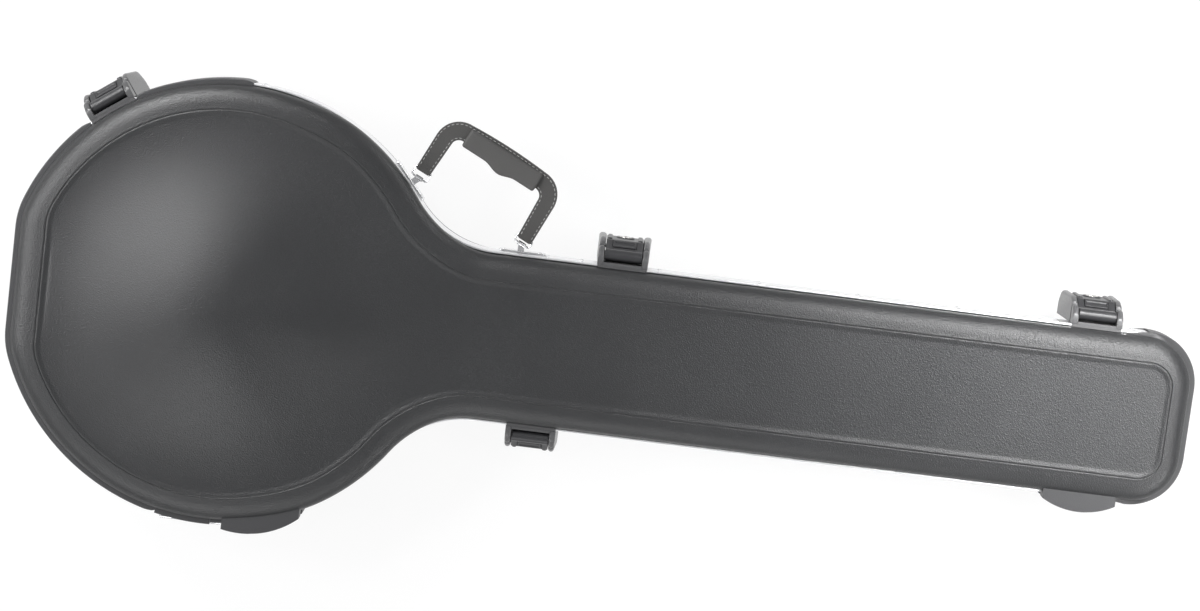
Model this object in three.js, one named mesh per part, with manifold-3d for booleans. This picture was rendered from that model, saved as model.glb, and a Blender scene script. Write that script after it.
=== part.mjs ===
// Moulded case for a five-string banjo, lying on its back with the lid closed.
// Millimetres. X runs from the round bout to the headstock end, Y to the handle side, Z up to the lid.

import * as THREE from 'three';
import { mergeVertices } from 'three/addons/utils/BufferGeometryUtils.js';
import Module from 'manifold-3d';

const wasm = await Module();
wasm.setup();

const degrees = Math.PI / 180;

// Clearances that every piece shares
const seatGap = 0.3;
const overrun = 2;

// Outline of both halves, measured from the centre of the bout
const boutRadius = 205;
const tailFlatDepth = 9;
const tailReach = boutRadius - tailFlatDepth;
const tailFilletRadius = 70;
const waistRadius = 94;
const neckHalfWidth = 78;
const headReach = 903.5;
const headCornerRadius = 44.5;
const neckStart = Math.sqrt((boutRadius + waistRadius) ** 2 - (neckHalfWidth + waistRadius) ** 2);
const waistBearing = Math.atan2(neckHalfWidth + waistRadius, neckStart);
const outline = { tailSteps: 2, boutSteps: 15, waistSteps: 5, neckSteps: 3, cornerSteps: 4 };

// The moulded shoulder is wider at the tail and narrower at the head
const shoulder = { start: 4, end: 24, tailExtra: 3, headExtra: -4, cornerExtra: -1 };

// Depths, with the parting plane at the top of the base
const baseDepth = 100;
const shellWall = 3.5;

const lidForm = {
  rimLift: 2.2, wallDraft: 0.4, wallHeight: 14, shoulderInset: 22, shoulderHeight: 27,
  grooveInset: 23.2, grooveHeight: 26.2, beadStart: 24.6, beadEnd: 27, beadHeight: 28.4,
  panelInset: 28.8, panelHeight: 25.6, shoulderSteps: 4,
};
const dome = { height: 32, edge: 31, tipShare: 1.695 };
const domeRadius = boutRadius - dome.edge;
const panelShares = [0.3, 0.62, 1];
const spineEase = 60;

const baseForm = {
  rimDrop: 5.3, cornerHeight: 26, wallInset: 4, backInset: 24, bandInset: 27,
  recessInset: 28.8, recessHeight: 1.6, cornerSteps: 3,
};

// Aluminium edging with a tongue on the lid and a groove on the base
const valance = {
  proud: 2.4, web: 2, fit: 0.4, lidHeight: 12, baseHeight: 16, innerHeight: 9,
  lidFloor: 1.9, baseFloor: 5, plane: 0.15, tongueStart: 1.2, tongueEnd: 2.6,
  tongueDrop: 2.4, grooveStart: 0.3, grooveEnd: 3.7, grooveDepth: 3,
};

// Bumper moulded over the edging round the tail and the head
const bumper = {
  proud: 5, ledge: 1.7, edge: 1.2, root: 1.5, startDegrees: 88.4, steps: 9, lowerSteps: 18,
};

const liner = {
  gap: 0.4, inset: 6.6, edge: 1, thickness: 7, potWall: 29, potFloor: 14,
  neckHalfWidth: 56, neckFloor: 44.5, headWall: 14, cornerRadius: 30, circleSteps: 40, cornerSteps: 4,
};

const potRadius = boutRadius - liner.potWall;

const pocket = {
  pastPot: 86, length: 140, low: -27, high: 31, floor: 12, lip: 5, flap: 4.5, slack: 0.6,
  pullLength: 22, pullWidth: 18, pullThickness: 1.2, pullInset: 1,
};

const pocketStart = potRadius + pocket.pastPot;

const cradle = {
  pastPocket: 22, length: 30, top: 86, side: 0.5, notchHalfWidth: 26, notchDepth: 30, notchRadius: 22,
  steps: 4,
};

const cradleStart = pocketStart + pocket.length + cradle.pastPocket;

const latch = {
  width: 47, cheek: 5.5, back: 2.5, reach: 24.5, topReach: 20.5, top: 1.5, slopeDrop: 9, bottom: 68,
  footReach: 14, footRise: 10, sideGap: 0.6, pivotReach: 12, pivotDrop: 56, pinRadius: 2, boreRadius: 2.35,
  pinSides: 10, pinProud: 0.2,
};
const lever = {
  front: 22.8, topFront: 15.4, topDrop: 0.5, barrelReach: 9.8, barrelRise: 6.5, barrelRadius: 5.5,
  innerTop: 8.5, innerTopDrop: 3, innerBend: 13.5, innerBendDrop: 16, inner: 15.5, innerStart: 24,
  innerEnd: 44, bossRadius: 8, bossShoulder: 5, frontEnd: 50, barrelSteps: 6, bossSteps: 5,
};
const trigger = {
  halfWidth: 11.5, height: 9, thickness: 3.2, proud: 0.8, depth: 4.2, slack: 0.4, drop: 5,
};
const lock = {
  radius: 6, slack: 0.35, drop: 36, proud: 1.4, floor: 17.2, lift: 0.5, slotWidth: 1.4, slotLength: 8,
  slotDepth: 2, sides: 20,
};
const keeper = { reach: 17.5, low: 2.5, high: 14, front: 7.5, slopeReach: 10, tipSteps: 3 };

// Latch places: one on the bout, two on the handle side of the neck, one on the far side
const latchSpots = { boutDegrees: 126, neckPastWaist: 120, headShort: 94.5, waistPastWaist: 54 };
const latchPlaces = [
  { name: 'bout_latch', bearing: latchSpots.boutDegrees },
  { name: 'neck_latch', x: neckStart + latchSpots.neckPastWaist, side: 1 },
  { name: 'head_latch', x: headReach - latchSpots.headShort, side: 1 },
  { name: 'waist_latch', x: neckStart + latchSpots.waistPastWaist, side: -1 },
];

const hinge = {
  length: 56, shortOfFoot: 4.6, knuckleCount: 5, knuckleGap: 0.25, knuckleRadius: 2.2,
  pinRadius: 1, boreRadius: 1.25,
  leaf: 1.4, leafStart: 2.5, leafEnd: 11.2, webStart: 0.8, webEnd: 3.4, webReach: 7, notchMargin: 3,
  notchHeight: 11.8, headRadius: 1.9, headLength: 1, sides: 10, leafSteps: 8, caseSides: 120, shy: 0.05,
};

// Feet for standing on the long side: two rounds on one flat, tilted because the bout is wider
const boutFoot = { inset: 68, bearingDegrees: -73.9, radius: 81.8, stepsBefore: 3, stepsAfter: 5 };
const neckFoot = { headInset: 88.5, sideInset: 52.8, radius: 68.3, stepsBefore: 6, stepsAfter: 3 };
const foot = { lidLow: 6, lidHigh: 20, baseHigh: 6, baseLow: 62, stepDegrees: 6, inward: 22 };
const footStep = foot.stepDegrees * degrees;
const boutFootBearing = boutFoot.bearingDegrees * degrees;
const boutFootCentre = new THREE.Vector2(
  (boutRadius - boutFoot.inset) * Math.cos(boutFootBearing),
  (boutRadius - boutFoot.inset) * Math.sin(boutFootBearing));
const neckFootCentre = new THREE.Vector2(headReach - neckFoot.headInset, neckFoot.sideInset - neckHalfWidth);
const footLine = boutFootCentre.clone().sub(neckFootCentre);
const ground = footLine.angle() + Math.acos(
  (neckFoot.radius - boutFoot.radius) * Math.cos(footStep / 2) / footLine.length());

// The hinge ends just short of the foot beside it
const boutFootStart = ground - (boutFoot.stepsBefore + 1 / 2) * footStep;
const hingeEnd = boutFootCentre.x + boutFoot.radius * Math.cos(boutFootStart) - hinge.shortOfFoot;
const hingeStart = hingeEnd - hinge.length;

// Handle across the waist: it swings on a line between two brackets on the base edging
const handle = {
  axisDrop: 8, pastWaistDegrees: 5.3, axisOut: 7, rightPastWaist: 25.5, reach: 70, width: 18.5,
  thickness: 6.5, armFlare: 5, armWidth: 16.5, endWidth: 12.5, outerCorner: 24, innerCorner: 8, crown: 1.6,
  cornerSteps: 5, crownSteps: 4, boreRadius: 1.9, boreSides: 10,
};
const grip = {
  startShare: 0.169, endShare: 0.835, topInset: 3.5, under: 4.3, swell: 4, swellShare: 0.523,
  swellReach: 17, thickness: 15, bevel: 2.2, steps: 14,
};
const ring = { wire: 1.5, width: 19, corner: 2, sides: 8, steps: 3, endWall: 3.1 };
const bracket = {
  length: 44, height: 13, plate: 1.3, eyeRadius: 3.2, boreRadius: 1.95, eyeLength: 9, webLength: 7,
  webHeight: 5, sides: 12,
};
const handleEnds = [
  { name: 'left', offset: 2.75, top: 11 },
  { name: 'right', offset: -1.8, top: 8.5 },
];

const finishes = {
  shell: { color: '#47484b', roughness: 0.55, metalness: 0 },
  aluminium: { color: '#d9dadc', roughness: 0.35, metalness: 1 },
  liner: { color: '#1c1c1f', roughness: 0.95, metalness: 0 },
  bracket: { color: '#6c6d6f', roughness: 0.5, metalness: 0 },
  lever: { color: '#3c3d3f', roughness: 0.45, metalness: 0 },
  steel: { color: '#b9babd', roughness: 0.3, metalness: 1 },
  handle: { color: '#5b5a59', roughness: 0.8, metalness: 0 },
};

const partingZ = baseDepth;

const caseGroup = new THREE.Group();

function addPiece(name, geometry, finish, parent = caseGroup) {
  const piece = new THREE.Mesh(geometry, new THREE.MeshStandardMaterial(finishes[finish]));
  piece.name = name;
  parent.add(piece);
  return piece;
}

// Solids: three.js geometry to a closed solid and back

function solidOf(geometry) {
  const bare = geometry.index ? geometry.toNonIndexed() : geometry.clone();
  for (const name of Object.keys(bare.attributes)) {
    if (name !== 'position') bare.deleteAttribute(name);
  }
  const merged = mergeVertices(bare, 1e-4);
  const kept = [];
  for (let i = 0; i < merged.index.count; i += 3) {
    const [a, b, c] = [merged.index.getX(i), merged.index.getX(i + 1), merged.index.getX(i + 2)];
    if (a !== b && b !== c && c !== a) kept.push(a, b, c);
  }
  return new wasm.Manifold(new wasm.Mesh({
    numProp: 3,
    vertProperties: new Float32Array(merged.attributes.position.array),
    triVerts: new Uint32Array(kept),
  }));
}

function geometryOf(solid) {
  const mesh = solid.getMesh();
  const geometry = new THREE.BufferGeometry();
  const places = new Float32Array(mesh.numVert * 3);
  for (let i = 0; i < mesh.numVert; i += 1) {
    for (let axis = 0; axis < 3; axis += 1) {
      places[3 * i + axis] = mesh.vertProperties[mesh.numProp * i + axis];
    }
  }
  geometry.setAttribute('position', new THREE.BufferAttribute(places, 3));
  geometry.setIndex(new THREE.BufferAttribute(new Uint32Array(mesh.triVerts), 1));
  return geometry;
}

function cut(geometry, ...tools) {
  return geometryOf(tools.reduce((solid, tool) => solid.subtract(solidOf(tool)), solidOf(geometry)));
}

function join(geometry, ...others) {
  return geometryOf(others.reduce((solid, other) => solid.add(solidOf(other)), solidOf(geometry)));
}

function common(geometry, other) {
  return geometryOf(solidOf(geometry).intersect(solidOf(other)));
}

// Simple forms between two corners, along an axis or from an outline

function block(low, high) {
  const size = high.map((value, axis) => value - low[axis]);
  const middle = high.map((value, axis) => (value + low[axis]) / 2);
  return new THREE.BoxGeometry(...size).translate(...middle);
}

function rod(radius, length, sides, direction, centre) {
  const turn = new THREE.Quaternion().setFromUnitVectors(
    new THREE.Vector3(0, 1, 0), new THREE.Vector3(...direction).normalize());
  return new THREE.CylinderGeometry(radius, radius, length, sides).applyQuaternion(turn).translate(...centre);
}

function upright(points, low, high) {
  const shape = new THREE.Shape(points.map(([x, y]) => new THREE.Vector2(x, y)));
  return new THREE.ExtrudeGeometry(shape, { depth: high - low, bevelEnabled: false }).translate(0, 0, low);
}

// An outline of reach and height carried sideways, centred on the middle of a latch
function sideways(points, width) {
  const turn = new THREE.Matrix4().makeBasis(
    new THREE.Vector3(0, 1, 0), new THREE.Vector3(0, 0, 1), new THREE.Vector3(1, 0, 0));
  return upright(points, -width / 2, width / 2).applyMatrix4(turn);
}

function arc(centreX, centreY, radius, from, to, steps) {
  return Array.from({ length: steps + 1 }, (_, i) => {
    const angle = from + (to - from) * i / steps;
    return [centreX + radius * Math.cos(angle), centreY + radius * Math.sin(angle)];
  });
}

// Rings: the case outline moved inward by an inset, always with the same number of points

function ringOutline(inset) {
  const widening = THREE.MathUtils.clamp((inset - shoulder.start) / (shoulder.end - shoulder.start), 0, 1);
  const bout = boutRadius - inset;
  const tail = tailReach - inset - shoulder.tailExtra * widening;
  const fillet = tailFilletRadius - inset;
  const filletX = fillet - tail;
  const filletY = Math.sqrt((bout - fillet) ** 2 - filletX ** 2);
  const waist = waistRadius + inset;
  const half = neckHalfWidth - inset;
  const waistY = half + waist;
  const waistX = Math.sqrt((bout + waist) ** 2 - waistY ** 2);
  const head = headReach - inset - shoulder.headExtra * widening;
  const corner = headCornerRadius - inset - shoulder.cornerExtra * widening;
  const boutStart = Math.atan2(filletY, filletX);
  const boutEnd = Math.atan2(waistY, waistX);
  const neckLine = Array.from({ length: outline.neckSteps }, (_, i) => (
    [waistX + (head - corner - waistX) * i / outline.neckSteps, half]));
  const upper = [
    ...arc(filletX, filletY, fillet, Math.PI, boutStart, outline.tailSteps).slice(0, -1),
    ...arc(0, 0, bout, boutStart, boutEnd, outline.boutSteps),
    ...arc(waistX, waistY, waist, boutEnd + Math.PI, Math.PI * 1.5, outline.waistSteps).slice(1, -1),
    ...neckLine,
    ...arc(head - corner, half - corner, corner, Math.PI / 2, 0, outline.cornerSteps),
  ];
  return [...upper, ...upper.map(([x, y]) => [x, -y]).reverse()];
}

function levelRing(inset, height) {
  return ringOutline(inset).map(([x, y]) => [x, y, height]);
}

function spineX(x) {
  return x > 0 ? x * x / (x + spineEase) : 0;
}

// A ring drawn toward the centre line of the case by a share, on a surface of its own
function panelRing(inset, share, heightAt) {
  return ringOutline(inset).map(([x, y]) => {
    const px = x + (spineX(x) - x) * share;
    const py = y * (1 - share);
    return [px, py, heightAt(px, py)];
  });
}

function apart([ax, ay, az], [bx, by, bz]) {
  return Math.hypot(ax - bx, ay - by, az - bz);
}

// Two triangles split along the shorter diagonal, so that parallel skins fold alike
function foursquare(a, b, c, d) {
  const split = apart(a, c) < apart(b, d) ? [a, b, c, a, c, d] : [a, b, d, b, c, d];
  return split.flat();
}

// Closed skin through a run of rings; it ends on the centre line or closes on its first ring
function skin(rings, closesOnItself) {
  const count = rings[0].length;
  const corners = [];
  const pairs = closesOnItself ? rings.length : rings.length - 1;
  for (let r = 0; r < pairs; r += 1) {
    const near = rings[r];
    const far = rings[(r + 1) % rings.length];
    for (let i = 0; i < count; i += 1) {
      const j = (i + 1) % count;
      corners.push(...foursquare(near[i], far[i], far[j], near[j]));
    }
  }
  const loose = new THREE.BufferGeometry();
  loose.setAttribute('position', new THREE.Float32BufferAttribute(corners, 3));
  return turnedOutward(loose);
}

function turnedOutward(loose) {
  const merged = mergeVertices(loose, 1e-3);
  const place = merged.attributes.position;
  const kept = [];
  let volume = 0;
  const [p, q, s] = [new THREE.Vector3(), new THREE.Vector3(), new THREE.Vector3()];
  for (let i = 0; i < merged.index.count; i += 3) {
    const [a, b, c] = [merged.index.getX(i), merged.index.getX(i + 1), merged.index.getX(i + 2)];
    if (a === b || b === c || c === a) continue;
    kept.push([a, b, c]);
    p.fromBufferAttribute(place, a);
    q.fromBufferAttribute(place, b);
    s.fromBufferAttribute(place, c);
    volume += p.dot(q.cross(s));
  }
  merged.setIndex((volume > 0 ? kept : kept.map(([a, b, c]) => [a, c, b])).flat());
  return merged;
}

function swept(section) {
  return skin(section.map(([inset, height]) => levelRing(inset, height)), true);
}

// A filled body whose side follows a section from its flat bottom to its flat top
function filled(section) {
  const spine = (inset, height) => panelRing(inset, 1, () => height);
  return skin([
    spine(...section[0]),
    ...section.map(([inset, height]) => levelRing(inset, height)),
    spine(...section[section.length - 1]),
  ], false);
}

// Teardrop dome: a cosine bell whose level lines run to a point towards the neck
function domeRise(x, y) {
  const tangent = Math.acos(1 / dome.tipShare);
  const onCone = Math.atan2(Math.abs(y), x) < tangent;
  const reach = onCone ? x * Math.cos(tangent) + Math.abs(y) * Math.sin(tangent) : Math.hypot(x, y);
  return dome.height * (1 + Math.cos(Math.PI * Math.min(reach / domeRadius, 1))) / 2;
}

function panelRings(inset, height) {
  return [0, ...panelShares].map((share) => panelRing(inset, share, (x, y) => height + domeRise(x, y)));
}

// Quarter ellipse from the top of the wall to the edge of the panel, moved in by a wall
function quarter(startInset, startHeight, endInset, endHeight, wall, steps) {
  return Array.from({ length: steps + 1 }, (_, i) => {
    const angle = i / steps * Math.PI / 2;
    return [
      endInset - (endInset - startInset - wall) * Math.cos(angle),
      startHeight + (endHeight - startHeight - Math.sign(endHeight - startHeight) * wall) * Math.sin(angle),
    ];
  });
}

function lidShoulder(wall, steps) {
  return quarter(lidForm.wallDraft, partingZ + lidForm.wallHeight, lidForm.shoulderInset,
    partingZ + lidForm.shoulderHeight, wall, steps);
}

function baseCorner(wall, steps) {
  return quarter(baseForm.wallInset, baseForm.cornerHeight, baseForm.backInset, 0, wall, steps);
}

// Bumper strip: a section carried along part of the outline, closed at both ends
function bumperStrip(section, points) {
  const profile = section.map(([x, y]) => new THREE.Vector2(x, y));
  const rows = section.map(([inset, height]) => points(inset).map(([x, y]) => [x, y, height]));
  if (THREE.ShapeUtils.isClockWise(profile)) {
    profile.reverse();
    rows.reverse();
  }
  const last = rows[0].length - 1;
  const corners = [];
  for (let r = 0; r < rows.length; r += 1) {
    const near = rows[r];
    const far = rows[(r + 1) % rows.length];
    for (let i = 0; i < last; i += 1) {
      corners.push(...foursquare(near[i], far[i], far[i + 1], near[i + 1]));
    }
  }
  for (const [a, b, c] of THREE.ShapeUtils.triangulateShape(profile, [])) {
    corners.push(...rows[a][0], ...rows[c][0], ...rows[b][0]);
    corners.push(...rows[a][last], ...rows[b][last], ...rows[c][last]);
  }
  const loose = new THREE.BufferGeometry();
  loose.setAttribute('position', new THREE.Float32BufferAttribute(corners, 3));
  return turnedOutward(loose);
}

// Part of the outline between two points, found by their count along the ring
function outlineRun(inset, from, to) {
  const points = ringOutline(inset);
  return Array.from({ length: to - from + 1 }, (_, i) => points[(from + i + points.length) % points.length]);
}

// The stretches that carry a bumper, as bearings from the bout centre and as the head end
const latchHalfBearing = Math.asin(
  (latch.width / 2 + bumper.edge) / (boutRadius + valance.proud)) / degrees;
const latchBearing = latchPlaces[0].bearing;

function boutRun(fromDegrees, toDegrees, steps) {
  return (inset) => arc(0, 0, boutRadius - inset, fromDegrees * degrees, toDegrees * degrees, steps);
}

function tailRun(inset) {
  const around = outlineRun(inset, -outline.tailSteps - 1, outline.tailSteps);
  const [lastX, lastY] = around[around.length - 1];
  const joint = Math.atan2(lastY, lastX);
  const upperEnd = (latchBearing + latchHalfBearing) * degrees;
  const bout = boutRadius - inset;
  const below = arc(0, 0, bout, -bumper.startDegrees * degrees, -joint, bumper.lowerSteps).slice(0, -1);
  const above = arc(0, 0, bout, joint, upperEnd, bumper.steps).slice(1);
  return [...below, ...around, ...above];
}

function headRun(inset) {
  const half = outline.tailSteps + outline.boutSteps + outline.waistSteps + outline.neckSteps;
  return outlineRun(inset, half, half + 2 * outline.cornerSteps + 1);
}

const lidBumper = [
  [bumper.root, partingZ + valance.lidHeight + seatGap],
  [-valance.proud - seatGap, partingZ + valance.lidHeight + seatGap],
  [-valance.proud - seatGap, partingZ + seatGap],
  [-bumper.proud, partingZ + seatGap],
  [-bumper.proud, partingZ + valance.lidHeight + bumper.ledge - bumper.edge],
  [bumper.edge - bumper.proud, partingZ + valance.lidHeight + bumper.ledge],
  [bumper.root, partingZ + valance.lidHeight + bumper.ledge],
];
const baseBumper = [
  [bumper.root, partingZ - valance.baseHeight - seatGap],
  [-valance.proud - seatGap, partingZ - valance.baseHeight - seatGap],
  [-valance.proud - seatGap, partingZ - seatGap],
  [-bumper.proud, partingZ - seatGap],
  [-bumper.proud, partingZ - valance.baseHeight - bumper.ledge + bumper.edge],
  [bumper.edge - bumper.proud, partingZ - valance.baseHeight - bumper.ledge],
  [bumper.root, partingZ - valance.baseHeight - bumper.ledge],
];

const bumperRuns = [
  boutRun(bumper.startDegrees, latchBearing - latchHalfBearing, bumper.steps),
  tailRun,
  headRun,
];

const hingeAxisY = -(boutRadius + valance.proud + valance.fit + hinge.knuckleRadius);
const hingeNotch = block(
  [hingeStart - hinge.notchMargin, hingeAxisY - bumper.proud, partingZ - hinge.notchHeight],
  [hingeEnd + hinge.notchMargin, -neckHalfWidth, partingZ + hinge.notchHeight]);

function withBumpers(shell, section) {
  const strips = bumperRuns.map((points) => cut(bumperStrip(section, points), hingeNotch));
  return join(shell, ...strips);
}

// Lid: moulded shell with a rolled shoulder, a beaded panel and the dome over the pot

function makeLid() {
  const outer = [
    levelRing(0, partingZ + lidForm.rimLift),
    ...lidShoulder(0, lidForm.shoulderSteps).map(([inset, height]) => levelRing(inset, height)),
    levelRing(lidForm.grooveInset, partingZ + lidForm.grooveHeight),
    levelRing(lidForm.beadStart, partingZ + lidForm.beadHeight),
    levelRing(lidForm.beadEnd, partingZ + lidForm.beadHeight),
    ...panelRings(lidForm.panelInset, partingZ + lidForm.panelHeight),
  ];
  const inner = [
    levelRing(shellWall, partingZ + lidForm.rimLift),
    ...lidShoulder(shellWall, lidForm.shoulderSteps - 1).map(([inset, height]) => levelRing(inset, height)),
    ...panelRings(lidForm.panelInset, partingZ + lidForm.panelHeight - shellWall),
  ];
  const shell = skin([...outer.reverse(), ...inner], false);
  addPiece('lid_shell', withBumpers(shell, lidBumper), 'shell');

  const linerFace = shellWall + liner.gap;
  const rise = lidShoulder(linerFace, lidForm.shoulderSteps - 1).map(([inset, height]) => (
    levelRing(Math.max(inset, liner.inset), height)));
  const back = linerFace + liner.thickness;
  const drop = lidShoulder(back, 2).map(([inset, height]) => (
    levelRing(Math.max(inset, liner.inset + liner.thickness), height)));
  addPiece('lid_liner', skin([
    ...panelRings(lidForm.panelInset, partingZ + lidForm.panelHeight - linerFace).reverse(),
    ...rise.reverse(),
    levelRing(liner.inset, partingZ + liner.edge),
    levelRing(liner.inset + liner.thickness, partingZ + liner.edge),
    ...drop,
    ...panelRings(lidForm.panelInset, partingZ + lidForm.panelHeight - back),
  ], false), 'liner');
}

// Base: deep shell with a drafted wall and a banded back that the case lies on

function makeBase() {
  const back = (height) => panelRing(baseForm.recessInset, 1, () => height);
  const shell = skin([
    back(baseForm.recessHeight),
    levelRing(baseForm.recessInset, baseForm.recessHeight),
    levelRing(baseForm.bandInset, 0),
    ...baseCorner(0, baseForm.cornerSteps).reverse().map(([inset, height]) => levelRing(inset, height)),
    levelRing(0, partingZ - baseForm.rimDrop),
    levelRing(shellWall, partingZ - baseForm.rimDrop),
    ...baseCorner(shellWall, baseForm.cornerSteps).map(([inset, height]) => levelRing(inset, height)),
    levelRing(baseForm.recessInset, baseForm.recessHeight + shellWall),
    back(baseForm.recessHeight + shellWall),
  ], false);
  addPiece('base_shell', withBumpers(shell, baseBumper), 'shell');
}

function makeValances() {
  const outside = -valance.proud;
  const outerFace = valance.web - valance.proud;
  const innerFace = shellWall + valance.fit;
  const inside = innerFace + valance.web;
  addPiece('lid_valance', swept([
    [outside, partingZ + valance.plane], [outside, partingZ + valance.lidHeight],
    [outerFace, partingZ + valance.lidHeight], [outerFace, partingZ + valance.lidFloor],
    [innerFace, partingZ + valance.lidFloor], [innerFace, partingZ + valance.innerHeight],
    [inside, partingZ + valance.innerHeight], [inside, partingZ + valance.plane],
    [valance.tongueEnd, partingZ + valance.plane], [valance.tongueEnd, partingZ - valance.tongueDrop],
    [valance.tongueStart, partingZ - valance.tongueDrop], [valance.tongueStart, partingZ + valance.plane],
  ]), 'aluminium');
  addPiece('base_valance', swept([
    [outside, partingZ - valance.plane], [outside, partingZ - valance.baseHeight],
    [outerFace, partingZ - valance.baseHeight], [outerFace, partingZ - valance.baseFloor],
    [innerFace, partingZ - valance.baseFloor], [innerFace, partingZ - valance.innerHeight],
    [inside, partingZ - valance.innerHeight], [inside, partingZ - valance.plane],
    [valance.grooveEnd, partingZ - valance.plane], [valance.grooveEnd, partingZ - valance.grooveDepth],
    [valance.grooveStart, partingZ - valance.grooveDepth], [valance.grooveStart, partingZ - valance.plane],
  ]), 'aluminium');
}

// Foam in the base: a pad and a wall round the well for the pot, a block and walls along the neck

function roundedBar(startX, endX, halfWidth, radius, steps) {
  return [
    [startX, -halfWidth],
    ...arc(endX - radius, radius - halfWidth, radius, -Math.PI / 2, 0, steps),
    ...arc(endX - radius, halfWidth - radius, radius, 0, Math.PI / 2, steps),
    [startX, halfWidth],
  ];
}

function makeBaseLiner() {
  const face = shellWall + liner.gap;
  const top = partingZ + overrun;
  const pocketEnd = pocketStart + pocket.length;
  const rebateFloor = liner.neckFloor - pocket.flap - seatGap;
  const foam = filled([
    [baseForm.recessInset, baseForm.recessHeight + face],
    ...baseCorner(face, baseForm.cornerSteps).reverse(),
    [liner.inset, partingZ - liner.edge],
  ]);
  const circle = (radius) => arc(0, 0, radius, 0, Math.PI * 2, liner.circleSteps).slice(0, -1);
  const channel = roundedBar(
    0, headReach - liner.headWall, liner.neckHalfWidth, liner.cornerRadius, liner.cornerSteps);
  const mouth = Math.sqrt(potRadius ** 2 - liner.neckHalfWidth ** 2);
  const side = boutRadius + overrun;
  const potSide = (low, high) => block([-side, -side, low], [mouth, side, high]);
  const neckSide = (low, high) => block([mouth + seatGap, -side, low], [headReach, side, high]);

  addPiece('pot_liner_pad', common(foam, join(
    potSide(-overrun, liner.potFloor), upright(circle(potRadius), -overrun, liner.potFloor))), 'liner');
  addPiece('pot_liner_wall', cut(common(foam, potSide(liner.potFloor + seatGap, top)),
    upright(circle(potRadius), liner.potFloor, top)), 'liner');
  addPiece('neck_liner_block', cut(
    common(foam, neckSide(-overrun, liner.neckFloor)),
    upright(circle(potRadius + seatGap), -overrun, top),
    block([pocketStart, pocket.low, pocket.floor], [pocketEnd, pocket.high, top]),
    block([pocketStart - pocket.lip, pocket.low - pocket.lip, rebateFloor],
      [pocketEnd + pocket.lip, pocket.high + pocket.lip, top]),
  ), 'liner');

  const low = liner.neckFloor + seatGap;
  const turn = headReach - liner.headWall - liner.cornerRadius;
  const walls = {
    neck_liner_handle_side: block([mouth + seatGap, 0, low], [turn, side, top]),
    neck_liner_hinge_side: block([mouth + seatGap, -side, low], [turn, 0, top]),
    head_liner_handle_side: block([turn + seatGap, seatGap / 2, low], [headReach, side, top]),
    head_liner_hinge_side: block([turn + seatGap, -side, low], [headReach, -seatGap / 2, top]),
  };
  for (const [name, region] of Object.entries(walls)) {
    addPiece(name, cut(common(foam, region), upright(channel, liner.potFloor, top)), 'liner');
  }
}

function makeCompartment() {
  const edge = pocket.lip - pocket.slack;
  const middle = pocketStart + pocket.length / 2;
  const free = pocket.high + edge;
  addPiece('compartment_lid', block(
    [pocketStart - edge, pocket.low - edge, liner.neckFloor - pocket.flap],
    [pocketStart + pocket.length + edge, free, liner.neckFloor]), 'liner');
  const pullLow = liner.neckFloor + seatGap;
  const pullEnd = free - pocket.pullInset;
  addPiece('compartment_pull', block(
    [middle - pocket.pullWidth / 2, pullEnd - pocket.pullLength, pullLow],
    [middle + pocket.pullWidth / 2, pullEnd, pullLow + pocket.pullThickness]), 'handle');
}

// Foam cradle across the channel, with a rounded notch that carries the neck
function makeCradle() {
  const half = liner.neckHalfWidth - cradle.side;
  const low = liner.neckFloor + seatGap;
  const notchFloor = cradle.top - cradle.notchDepth;
  const round = cradle.notchRadius;
  const front = [
    [-half, low],
    [half, low],
    [half, cradle.top],
    [cradle.notchHalfWidth, cradle.top],
    ...arc(cradle.notchHalfWidth - round, notchFloor + round, round, 0, -Math.PI / 2, cradle.steps),
    ...arc(round - cradle.notchHalfWidth, notchFloor + round, round, -Math.PI / 2, -Math.PI, cradle.steps),
    [-cradle.notchHalfWidth, cradle.top],
    [-half, cradle.top],
  ];
  addPiece('neck_cradle',
    sideways(front, cradle.length).translate(cradleStart + cradle.length / 2, 0, 0), 'liner');
}

// Latches: drawn once in their own frame, with X along the rim, Y outward and Z up from the parting plane

function uPlan(reach) {
  const half = latch.width / 2;
  const inside = half - latch.cheek;
  const back = seatGap + latch.back;
  return [
    [-half, seatGap],
    [half, seatGap],
    ...roundTip(half - latch.cheek / 2, reach),
    [inside, back],
    [-inside, back],
    ...roundTip(latch.cheek / 2 - half, reach),
  ];
}

function roundTip(middle, reach) {
  const radius = latch.cheek / 2;
  return arc(middle, reach - radius, radius, 0, Math.PI, keeper.tipSteps);
}

function latchHousing() {
  const side = [
    [seatGap, -latch.bottom],
    [latch.footReach, -latch.bottom],
    [latch.reach, latch.footRise - latch.bottom],
    [latch.reach, -latch.top - latch.slopeDrop],
    [latch.topReach, -latch.top],
    [seatGap, -latch.top],
  ];
  const frame = common(
    upright(uPlan(latch.reach), -latch.bottom - overrun, overrun),
    sideways(side, latch.width + overrun));
  return cut(frame, pivotRod(latch.boreRadius, latch.width + overrun));
}

function pivotRod(radius, length) {
  return rod(radius, length, latch.pinSides, [1, 0, 0], [0, latch.pivotReach, -latch.pivotDrop]);
}

// Frame on the sloped face of the lever: up the slope and straight out of it
const slopeAngle = Math.atan2(lever.front - lever.topFront, 2 * (trigger.drop - lever.topDrop));

function onSlope(geometry) {
  const reach = (lever.front + lever.topFront) / 2;
  return geometry.rotateX(slopeAngle).translate(0, reach, -trigger.drop);
}

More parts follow.
